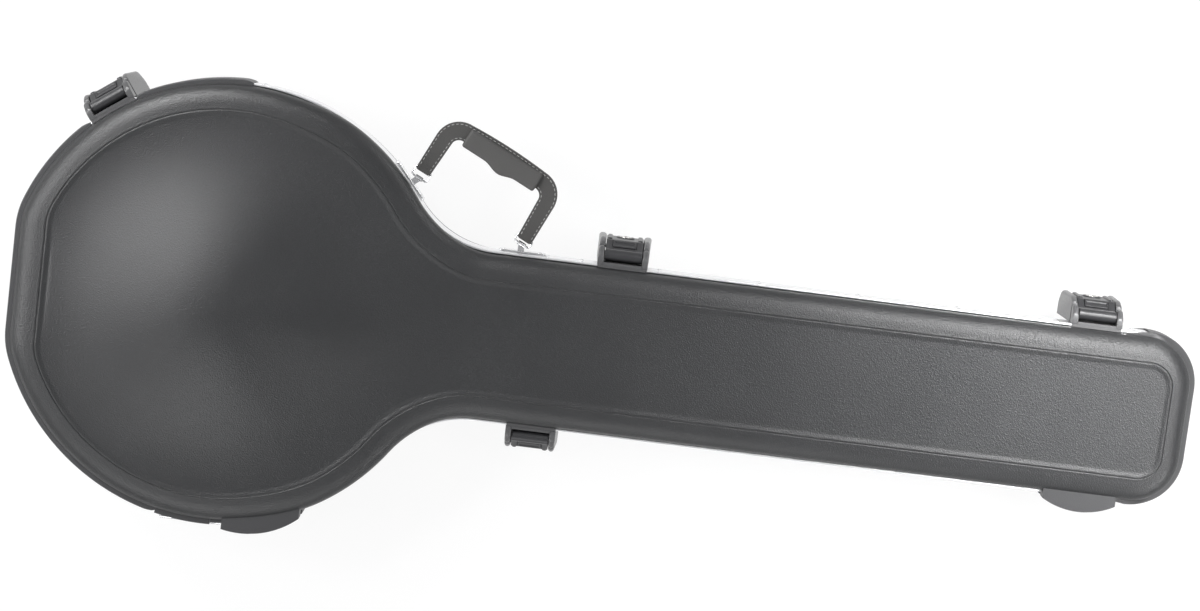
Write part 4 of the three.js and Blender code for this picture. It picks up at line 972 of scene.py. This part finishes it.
def leverTrim():
    # a raised rib down each side of the lever's front, and a collar round the lock
    near, far, proud = lever["rib"]
    rib = plate((far - near) / 2, lever["ribHalf"], lever["ribCorner"], [
        (0, -1), (0, proud - 0.9), (0.25, proud - 0.35), (0.9, proud), (2, proud)], 5)
    ribs = [placed(rib, facing, (side * (near + far) / 2, lever["front"], lever["ribHeight"]))
            for side in (-1, 1)]
    r, high = lever["collar"]
    bore = lock["radius"] + lock["slack"]
    collar = turned([(bore, -0.5), (r, -0.5), (r, high - 0.5), (r - 0.5, high), (bore + 0.3, high),
                     (bore, high - 0.3), (bore, -0.5)], 40)
    return [*ribs, placed(collar, facing, (0, lever["front"], -lock["drop"]))]


def rodAcross(centre, radius, half, sides=28):
    # a rod along X between two cheeks
    return sideways(arc(centre, radius, 0, 2 * halfTurn, sides + 1)[:-1], -half, half)


def makeLatch(name, bearing, spot):
    # bracket and strike, lever on its pivot, trigger in the lever's slope and lock in its front
    a = math.radians(bearing)
    out = np.array([math.cos(a), math.sin(a), 0])
    axes = np.stack([[math.sin(a), -math.cos(a), 0], out, (0, 0, 1)])
    radius = caseOutline["bout"] + edging["proud"] if spot is None else 0
    origin = np.array([*(out[:2] * radius if spot is None else spot), parting])

    def here(*shapes):
        return [placed(shape, axes, origin) for shape in shapes]

    half = latch["width"] / 2
    for kind, node, body, shapes in (("bracket", "housing", "base", housingShapes()),
                                     ("strike", "keeper", "lid", keeperShapes(radius))):
        makePiece(f"{name}_{kind}", here(*shapes), "bracket_plastic", body,
                  [f"{name}_{node}"], bevel=latch["bevel"], segments=3)
    head = turned(latch["pinHead"], 20)
    ends = [placed(head, ([0, 1, 0], [0, 0, side], [side, 0, 0]), (side * half, *latch["pivot"]))
            for side in (-1, 1)]
    makePiece(f"{name}_pivot", here(rodAcross(latch["pivot"], latch["pin"], half - 0.1, 20), *ends),
              "plated_steel", "base", [f"{name}_pin"], crease=35)

    seat = (facing, (0, lock["floor"], -lock["drop"]))
    recess = placed(plate(trigger["half"], trigger["height"] / 2, trigger["corner"],
                          [(0, -trigger["depth"]), (0, 3)], 3), slopeOut, slopeMiddle)
    r = lock["radius"] + lock["slack"]
    lockWell = placed(turned([(0, 0), (r, 0), (r, 9), (0, 9)], 32), *seat)
    makePiece(f"{name}_arm", here(leverShape()), "lever_plastic", f"{name}_lever",
              [f"{name}_lever"], bevel=lever["bevel"], segments=3, crease=34,
              cutters=here(recess, lockWell, rodAcross(latch["pivot"], latch["bore"], half)))
    makePiece(f"{name}_arm_trim", here(*leverTrim()), "lever_plastic", f"{name}_lever",
              crease=50)

    size = (trigger["half"] - trigger["slack"], trigger["height"] / 2 - trigger["slack"])
    top = trigger["proud"]
    section = [(inset, top - drop) for inset, drop in (
        (0.4, 3.2), (0, 2.9), (0, 0.35), (0.12, 0.1), (0.4, 0), (1.5, 0), (1.75, 0.12), (2.0, 0.6),
        (2.3, 0.75), (4, 0.75))]
    button = placed(plate(*size, trigger["corner"] - 0.1, section, 5), slopeOut, slopeMiddle)
    makePiece(f"{name}_button", here(button), "lever_plastic", f"{name}_trigger",
              [f"{name}_trigger"], crease=50)

    face = lever["front"] + lock["proud"] - lock["floor"]
    r, rim, core = lock["radius"], lock["rim"], lock["core"]
    cylinder = turned([
        (0, lock["lift"]), (r, lock["lift"]), (r, face - 0.6), (r - 0.2, face - 0.2),
        (r - 0.6, face), (r - rim, face), (r - rim - 0.3, face - 0.3), (core, face - 0.3),
        (core - 0.3, face - 0.1), (0, face - 0.1)], 40)
    wide, long, corner, deep = lock["slit"]
    slit = plate(wide, long, corner, [(0, face - deep), (0, face + deep)], 2)
    makePiece(f"{name}_keylock", here(placed(cylinder, *seat)), "nickel_plate", f"{name}_lock",
              [f"{name}_lock"], crease=30, cutters=here(placed(slit, *seat)))


for entry in latchPlaces:
    makeLatch(*entry)
print("latches:", len(latchPlaces))

# hinge

hinge = {"start": -39.95, "end": 16.05, "knuckles": 5, "gap": 0.25, "axisY": -210.0, "radius": 2.2,
         "leaf": (2.5, 11.2), "web": (0.8, 3.4), "webEnds": (-0.3, 0.9), "inner": 207.8,
         "thickness": 1.4, "rivets": (-32.0, -12.0, 8.0), "rivetHeight": 7.6, "rivetOut": 4.2,
         "cap": [(1, 0), (1.9, 0), (1.9, 0.7), (1.2, 1), (0, 1)]}
hinge["pitch"] = (hinge["end"] - hinge["start"]) / hinge["knuckles"]


def hingeLeaf(up, ours):
    # a plate bent to the bout, and every other knuckle with a web to the plate
    inner, outer = hinge["inner"], hinge["inner"] + hinge["thickness"]
    ends = [-math.acos(x / outer) for x in (hinge["start"], hinge["end"])]
    plan = np.concatenate([arc((0, 0), outer, *ends, 24), arc((0, 0), inner, *ends[::-1], 24)])
    leaf, web = (sorted(parting + up * z for z in hinge[part]) for part in ("leaf", "web"))
    ring = arc((hinge["axisY"], parting), hinge["radius"], 0, 2 * halfTurn, 25)[:-1]
    shapes = [prism(plan, *leaf)]
    for k in range(ours, hinge["knuckles"], 2):
        start = hinge["start"] + hinge["pitch"] * k + hinge["gap"] / 2
        end = start + hinge["pitch"] - hinge["gap"]
        shapes.append(sideways(ring, start, end))
        wallY = -math.sqrt(outer**2 - max(abs(start), abs(end)) ** 2)
        y0, y1 = hinge["axisY"] + hinge["webEnds"][0], wallY + hinge["webEnds"][1]
        shapes.append(sideways(box(y0, y1, *web), start, end))
    return shapes


for half, up, ours in (("lid", 1, 1), ("base", -1, 0)):
    stations = [stationOf(x, -caseOutline["bout"]) for x in hinge["rivets"]]
    spots = onRim(stations, parting + up * hinge["rivetHeight"], hinge["rivetOut"])
    makePiece(f"hinge_{half}_plate", [*hingeLeaf(up, ours), scattered(rivetHead, *spots)],
              "plated_steel", half, [f"hinge_{half}_leaf"], bevel=0.25, crease=40)
reach = (hinge["end"] - hinge["start"]) / 2 + hinge["gap"]
pinProfile = [*((r, -reach - z) for r, z in hinge["cap"][::-1]),
              *((r, reach + z) for r, z in hinge["cap"])]
pinMiddle = ((hinge["start"] + hinge["end"]) / 2, hinge["axisY"], parting)
makePiece("hinge_rod", [placed(turned(pinProfile, 20), acrossX, pinMiddle)], "plated_steel", "base",
          ["hinge_pin"], crease=35)
print("hinge done")

# feet on the long side

ground = math.radians(278.78423)  # the bearing of the ground when the case stands on its feet
feet = {
    "bout": {"centre": arc((0, 0), 137, math.radians(-73.9), 0, 1)[0], "radius": 81.8,
             "before": 3.5, "after": 5.5},
    "neck": {"centre": (815.0, -25.2), "radius": 68.3, "before": 6.5, "after": 3.5},
}
footForm = {"step": math.radians(6), "lid": (6, 20), "base": (-62, -6), "inset": 3.42, "bevel": 2.2}


def footPlan(form):
    # the arc away from the case, flat where it stands, closed along the inside of the shell's
    # wall; before and after are the steps of the arc on each side of the ground's bearing
    step = footForm["step"]
    curve = arc((0, 0), form["radius"], ground - form["before"] * step,
                ground + form["after"] * step, 40)
    down = np.array([math.cos(ground), math.sin(ground)])
    flat = form["radius"] * math.cos(step / 2)
    curve -= np.maximum(curve @ down - flat, 0)[:, None] * down
    curve += form["centre"]
    wall = outlineAt(footForm["inset"])
    wall = wall[(wall[:, 1] < 0) & (wall[:, 0] > curve[0, 0]) & (wall[:, 0] < curve[-1, 0])]
    wall = wall[np.argsort(-wall[:, 0])]
    ends = [(curve[-1, 0], wall[0, 1]), (curve[0, 0], wall[-1, 1])]
    return np.concatenate([curve, ends[:1], wall, ends[1:]])


for name, form in feet.items():
    for half in ("lid", "base"):
        block = prism(footPlan(form), *(parting + z for z in footForm[half]))
        makePiece(f"{half}_{name}_stand", [block], "smooth_abs", half,
                  [f"{half}_{name}_foot"], bevel=footForm["bevel"], segments=4, crease=30)
print("feet done")

# handle

# leftTurn is in degrees; the grip's start, end and swellShare are shares of the length between the
# handle's two ends, and its power squares the round section
handle = {"drop": 8, "axisOut": 7, "reach": 70, "width": 18.5, "thickness": 6.5, "flare": 5,
          "arm": 16.5, "end": 15, "tip": 20, "tipCorner": 3, "outer": 24, "inner": 8, "crown": 1.6,
          "bevel": 1.5, "leftTurn": 5.3, "leftReach": 9.4, "rightFrom": 25.5, "rightOut": 9.4}
grip = {"start": 0.169, "end": 0.835, "topInset": 3.5, "under": 4.3, "swell": 4,
        "swellShare": 0.523, "swellReach": 17, "thickness": 15, "power": 0.42, "close": 2.4}
ringForm = {"wire": 1.5, "shown": 0.95, "bore": 1.15, "width": 19, "corner": 2, "wall": 3.1}
handleEnds = [("left", 2.75, 11.0), ("right", -1.8, 8.5)]  # offset along the axis, and the top
arcsApart = caseOutline["bout"] + caseOutline["waist"]
waistY = caseOutline["neck"] + caseOutline["waist"]
waistX = math.sqrt(arcsApart**2 - waistY**2)
leftBearing = math.atan2(waistY, waistX) + math.radians(handle["leftTurn"])
leftRadius = caseOutline["bout"] + handle["leftReach"]
axisLeft = leftRadius * np.array([math.cos(leftBearing), math.sin(leftBearing)])
axisRight = np.array([waistX + handle["rightFrom"], caseOutline["neck"] + handle["rightOut"]])
axisLength = np.linalg.norm(axisRight - axisLeft)
across = (axisRight - axisLeft) / axisLength
handleAxes = np.array([[*across, 0], [-across[1], across[0], 0], [0, 0, 1]])
handleOrigin = np.array([*axisLeft, parting - handle["drop"]])


def onHandle(shape):
    return placed(shape, handleAxes, handleOrigin)


def strapPlan(draw=0.0):
    # outline of the band, drawn in: two tips, the inner bends between them, the outer corners and
    # a slightly crowned back
    h = handle
    inner = h["reach"] - h["width"] + draw
    left, right = -h["flare"] + draw, axisLength + h["flare"] - draw
    outer, bend = h["outer"] - draw, h["inner"] + draw
    armLeft, armRight = left + h["arm"] - 2 * draw, right - h["arm"] + 2 * draw
    half = h["end"] / 2 - draw
    tips = []
    for k, (_, offset, top) in enumerate(handleEnds):
        centre, low = k * axisLength + offset, top - ringForm["wire"] - ringForm["wall"] + draw
        corners = rectangle(half, (h["tip"] - low) / 2) + (centre, (h["tip"] + low) / 2)
        tips.append(rounded(corners, h["tipCorner"], 5)[:12])
    shoulderY = h["reach"] - h["crown"] - h["outer"]
    middle = axisLength / 2
    share = np.linspace(1, -1, 25)
    crown = np.stack([middle + (middle + h["flare"] - h["outer"]) * share,
                      h["reach"] - draw - h["crown"] * share**2], -1)
    return [
        tips[0], arc((armLeft + bend, inner - bend), bend, halfTurn, quarterTurn, 10),
        arc((armRight - bend, inner - bend), bend, quarterTurn, 0, 10),
        tips[1], arc((right - outer, shoulderY), outer, 0, quarterTurn, 16)[:-1],
        crown, arc((left + outer, shoulderY), outer, quarterTurn, halfTurn, 16)[1:],
    ]


half = handle["thickness"] / 2
strap = prism(np.concatenate(strapPlan()), -half, half)
hole = turned([(0, -12), (ringForm["bore"], -12), (ringForm["bore"], 12), (0, 12)], 20)
holes = [placed(hole, acrossX, (k * axisLength + offset, top - ringForm["wire"], 0))
         for k, (_, offset, top) in enumerate(handleEnds)]
makePiece("handle_band", [onHandle(strap)], "strap_leatherette", "handle",
          ["handle_strap"], bevel=handle["bevel"], segments=4, crease=34,
          cutters=[onHandle(h) for h in holes])


def gripShape(count=46, around=32):
    # rounded sections from the wavy lower edge to the top: y = middle + half |cos|^p,
    # z = half |sin|^p, drawn in on a quarter circle at both ends
    start, end = grip["start"] * axisLength, grip["end"] * axisLength
    x = start + (end - start) * (1 - np.cos(np.linspace(0, halfTurn, count))) / 2
    away = np.minimum(abs(x - grip["swellShare"] * axisLength) / grip["swellReach"], 1)
    swell = grip["swell"] * (1 + np.cos(halfTurn * away)) / 2
    low = handle["reach"] - handle["width"] - grip["under"] - swell
    top = handle["reach"] - grip["topInset"]
    toEnd = np.clip(np.minimum(x - start, end - x) / grip["close"], 0, 1)
    close = grip["close"] * (1 - np.sqrt(1 - (1 - toEnd) ** 2))
    a = np.linspace(0, 2 * halfTurn, around, endpoint=False)[:, None]
    bulge = [np.sign(f) * np.abs(f) ** grip["power"] for f in (np.cos(a), np.sin(a))]
    y = (top + low) / 2 + ((top - low) / 2 - close) * bulge[0]
    z = (grip["thickness"] / 2 - close) * bulge[1]
    return gridShape(np.stack([x[None] + 0 * y, y, z], -1), closeRows=True, capCols=True)


makePiece("handle_sleeve", [onHandle(gripShape())], "grip_rubber", "handle",
          ["handle_grip"], crease=50)

stitch = {"length": 3.0, "pitch": 4.3, "width": 0.8, "rise": 0.45, "inset": 2.0, "sunk": 0.05}


def stitchAlong(path, height, up):
    # small rounded beads of thread at an even pitch on a flat path
    gaps = np.linalg.norm(np.diff(path, axis=0), axis=1)
    run = np.concatenate([[0], np.cumsum(gaps)])
    at = np.arange(stitch["pitch"] / 2, run[-1], stitch["pitch"])
    centre, nearby = (np.stack([np.interp(s, run, c) for c in path.T], -1) for s in (at, at + 0.5))
    ahead = nearby - centre
    length = np.linalg.norm(ahead, axis=1, keepdims=True)
    keep = length[:, 0] > 1e-6
    centre, ahead = centre[keep], ahead[keep] / length[keep]
    zero = np.zeros((len(centre), 1))
    axes = np.stack([np.hstack([ahead, zero]), np.hstack([-ahead[:, 1:], ahead[:, :1], zero]),
                     np.tile([0.0, 0.0, up], (len(centre), 1))], 1)
    lat = np.linspace(-quarterTurn, quarterTurn, 6)[:, None]
    lon = np.linspace(0, 2 * halfTurn, 8, endpoint=False)[None]
    bead = np.stack([
        np.sin(lat) * stitch["length"] / 2 + 0 * lon,
        np.cos(lat) * np.cos(lon) * stitch["width"] / 2,
        np.cos(lat) * np.sin(lon) * stitch["rise"]], -1)
    return scattered(gridShape(bead, closeCols=True), np.hstack([centre, zero + height]), axes)


parts = strapPlan(stitch["inset"])
seams = [np.concatenate([parts[0][-2:], parts[1], parts[2], parts[3][:2]]),
         np.concatenate([parts[3][-2:], *parts[4:], parts[0][:2]])]
height = handle["thickness"] / 2 - stitch["sunk"]
makePiece("handle_stitching", [onHandle(stitchAlong(seam, up * height, up))
                               for up in (-1, 1) for seam in seams],
          "stitching_thread", "handle")

for k, (name, offset, top) in enumerate(handleEnds):
    wire, corner = ringForm["wire"], ringForm["corner"]
    half, high = ringForm["width"] / 2 - wire - corner, top - wire - corner
    spots = [(half, high), (-half, high), (-half, corner), (half, corner)]
    path = np.concatenate([
        arc((k * axisLength + offset + x, y), corner, q * quarterTurn, (q + 1) * quarterTurn, 7)
        for q, (x, y) in enumerate(spots)])
    loop = tube(np.column_stack([path, 0 * path[:, 0]]), ringForm["shown"], 14, closed=True)
    makePiece(f"handle_{name}_loop", [onHandle(loop)], "plated_steel", "handle",
              [f"handle_{name}_ring"])

bracket = {
    "length": 44, "height": 13, "corner": 3, "gap": 0.3, "rivetInset": 5.5, "web": (6, 3),
    "webGap": 1.5, "eye": 2.2, "bore": 1.15, "eyeLength": 8, "eyeEdge": 0.4,
    "section": [(0.3, 0), (0, 0.25), (0, 0.95), (0.35, 1.3), (4, 1.3)],
}
thickness = bracket["section"][-1][1]
base = plate(bracket["length"] / 2, bracket["height"] / 2, bracket["corner"], bracket["section"], 5)
half, soft = bracket["eyeLength"] / 2, bracket["eyeEdge"]
sleeve = turned([
    (bracket["bore"], -half), (bracket["eye"] - soft, -half), (bracket["eye"], soft - half),
    (bracket["eye"], half - soft), (bracket["eye"] - soft, half), (bracket["bore"], half),
    (bracket["bore"], -half)], 28)
for (name, offset, _), spot, facingAngle in zip(
        handleEnds, (axisLeft, axisRight), (leftBearing, quarterTurn)):
    # plate on the wall, web and eye on the handle's axis, which lies askew to the wall
    out = np.array([math.cos(facingAngle), math.sin(facingAngle)])
    axes = np.array([[out[1], -out[0], 0], [*out, 0], [0, 0, 1]])
    origin = np.array([*(spot - handle["axisOut"] * out), parting - handle["drop"]])
    skew = math.atan2(across[1], across[0]) - facingAngle + quarterTurn
    eye = np.array([offset * math.cos(skew), handle["axisOut"] + offset * math.sin(skew), 0])
    webX, webZ = bracket["web"]
    webEnd = eye[1] - bracket["webGap"]
    web = box(eye[0] - webX / 2, eye[0] + webX / 2, bracket["gap"], bracket["gap"] + webEnd)
    barrelAxes = ([0, 0, 1], [math.sin(skew), -math.cos(skew), 0],
                  [math.cos(skew), math.sin(skew), 0])
    rivetX = bracket["length"] / 2 - bracket["rivetInset"]
    parts = [placed(base, facing, (0, bracket["gap"], 0)), prism(web, -webZ / 2, webZ / 2),
             placed(sleeve, barrelAxes, eye),
             *(placed(rivetHead, facing, (x, bracket["gap"] + thickness, 0))
               for x in (-rivetX, rivetX))]
    makePiece(f"handle_{name}_mount", [placed(p, axes, origin) for p in parts], "plated_steel",
              "base", [f"handle_{name}_bracket"], crease=40)
print("handle done")

# floor, light and camera

studio = {"half": 30.0, "drop": -0.0005, "paper": (0.82, 0.82, 0.82, 1), "glow": 1.02,
          "floorSeen": 0.86, "dim": (0.95, 0.97, 1.0, 1), "strength": 0.22, "worldMirrored": 0.2}


def whiteSeen(tree, toCamera, toMirrors):
    # how much white there is: toCamera where the camera looks at it, toMirrors in gloss and glass,
    # and none for the light on the object
    rays = addNode(tree, "ShaderNodeLightPath").outputs
    mirrored = addNode(tree, "ShaderNodeMath", [
        (0, rays["Is Glossy Ray"]), (1, rays["Is Transmission Ray"])], operation="MAXIMUM")
    both = ((mirrored.outputs[0], toMirrors), (rays["Is Camera Ray"], toCamera))
    shares = [addNode(tree, "ShaderNodeMath", [(0, ray), (1, share)], operation="MULTIPLY")
              for ray, share in both]
    return addNode(tree, "ShaderNodeMath", [(k, s.outputs[0]) for k, s in enumerate(shares)],
                   operation="MAXIMUM").outputs[0]


def mixOut(tree, kind, share, plain, white):
    # the output takes plain and, by the share, white
    mixed = addNode(tree, "ShaderNodeMixShader", [
        (0, share), (1, plain.outputs[0]), (2, white.outputs[0])])
    addNode(tree, kind, [("Surface", mixed.outputs[0])])


floorMesh = bpy.data.meshes.new("studio_floor")
corners = [(x, y, studio["drop"]) for x, y in rectangle(studio["half"], studio["half"])]
floorMesh.from_pydata(corners, [], [(0, 1, 2, 3)])
floor = bpy.data.objects.new("studio_floor", floorMesh)
bpy.context.scene.collection.objects.link(floor)
paper = bpy.data.materials.new("white_paper")
paper.use_nodes = True
tree = paper.node_tree
tree.nodes.clear()
mixOut(tree, "ShaderNodeOutputMaterial", whiteSeen(tree, studio["floorSeen"], studio["floorSeen"]),
       addNode(tree, "ShaderNodeBsdfDiffuse", [("Color", studio["paper"])]),
       addNode(tree, "ShaderNodeEmission", [("Color", (1, 1, 1, 1)), ("Strength", studio["glow"])]))
floorMesh.materials.append(paper)

world = bpy.data.worlds.new("studio")
bpy.context.scene.world = world
world.use_nodes = True
tree = world.node_tree
tree.nodes.clear()
dim, white = (
    addNode(tree, "ShaderNodeBackground", [("Color", colour), ("Strength", strength)])
    for colour, strength in ((studio["dim"], studio["strength"]), ((1, 1, 1, 1), 1.0)))
mixOut(tree, "ShaderNodeOutputWorld", whiteSeen(tree, 1.0, studio["worldMirrored"]), dim, white)

# places in metres and powers in watts; spread is the lamp's beam in degrees
lamps = {
    "key": {"spot": (-1.47, 0.54, 1.78), "aim": (-0.4, 0.05, 0.12), "size": (0.5, 0.3),
            "power": 11.6},
    "left": {"spot": (-1.7, 0.0, 1.0), "aim": (-0.4, 0.0, 0.12), "size": (0.9, 0.6),
             "power": 11.7},
    "upper": {"spot": (-1.2, 1.3, 1.2), "aim": (-0.45, 0.1, 0.12), "size": (0.9, 0.6),
              "power": 4.4, "spread": 60},
    "low": {"spot": (-0.9, -1.5, 1.5), "aim": (-0.3, -0.05, 0.1), "size": (1.4, 0.7),
            "power": 12.5},
    "rim": {"spot": (1.0, 1.25, 0.62), "aim": (0.0, 0.1, 0.12), "size": (0.6, 0.4), "power": 5},
    "front": {"spot": (0.2, -1.65, 0.95), "aim": (0.1, -0.1, 0.1), "size": (1.2, 0.5),
              "power": 5},
    "head": {"spot": (0.85, 0.22, 1.25), "aim": (0.52, 0.0, 0.12), "size": (0.6, 0.6),
             "power": 1.35, "spread": 46},
    "handle": {"spot": (0.66, 0.75, 1.2), "aim": (0.5, 0.05, 0.12), "size": (0.5, 0.4),
               "power": 1.25, "spread": 36},
    "corner": {"spot": (1.5, -0.9, 1.2), "aim": (0.42, 0.0, 0.12), "size": (0.9, 0.7),
               "power": 2.2, "spread": 60},
}
for name, form in lamps.items():
    lamp = bpy.data.lights.new(name, "AREA")
    lamp.shape = "RECTANGLE"
    lamp.size, lamp.size_y = form["size"]
    lamp.energy = form["power"]
    lamp.spread = math.radians(form.get("spread", 180))
    holder = bpy.data.objects.new(f"lamp_{name}", lamp)
    holder.location = form["spot"]
    holder.visible_camera = False
    beam = Vector(form["aim"]) - Vector(form["spot"])
    holder.rotation_euler = beam.to_track_quat("-Z", "Y").to_euler()
    bpy.context.scene.collection.objects.link(holder)

view = {"spot": (-0.0008, 0.3418, 2.6), "aim": (-0.0052, 0.0426, 0.1), "roll": 7.1,
        "lens": 80.7, "sensor": 36, "near": 0.05, "far": 60}
forward = (Vector(view["aim"]) - Vector(view["spot"])).normalized()
lean = math.radians(view["roll"])
right = forward.cross(Vector((-math.sin(lean), math.cos(lean), 0))).normalized()
up = right.cross(forward)
camera = bpy.data.objects.new("camera", bpy.data.cameras.new("camera"))
turn = Matrix((right, up, -forward)).transposed().to_4x4()
camera.matrix_world = Matrix.Translation(view["spot"]) @ turn
camera.data.lens, camera.data.sensor_width = view["lens"], view["sensor"]
camera.data.clip_start, camera.data.clip_end = view["near"], view["far"]
bpy.context.scene.collection.objects.link(camera)
bpy.context.scene.camera = camera
bpy.context.scene.view_settings.view_transform = "Standard"
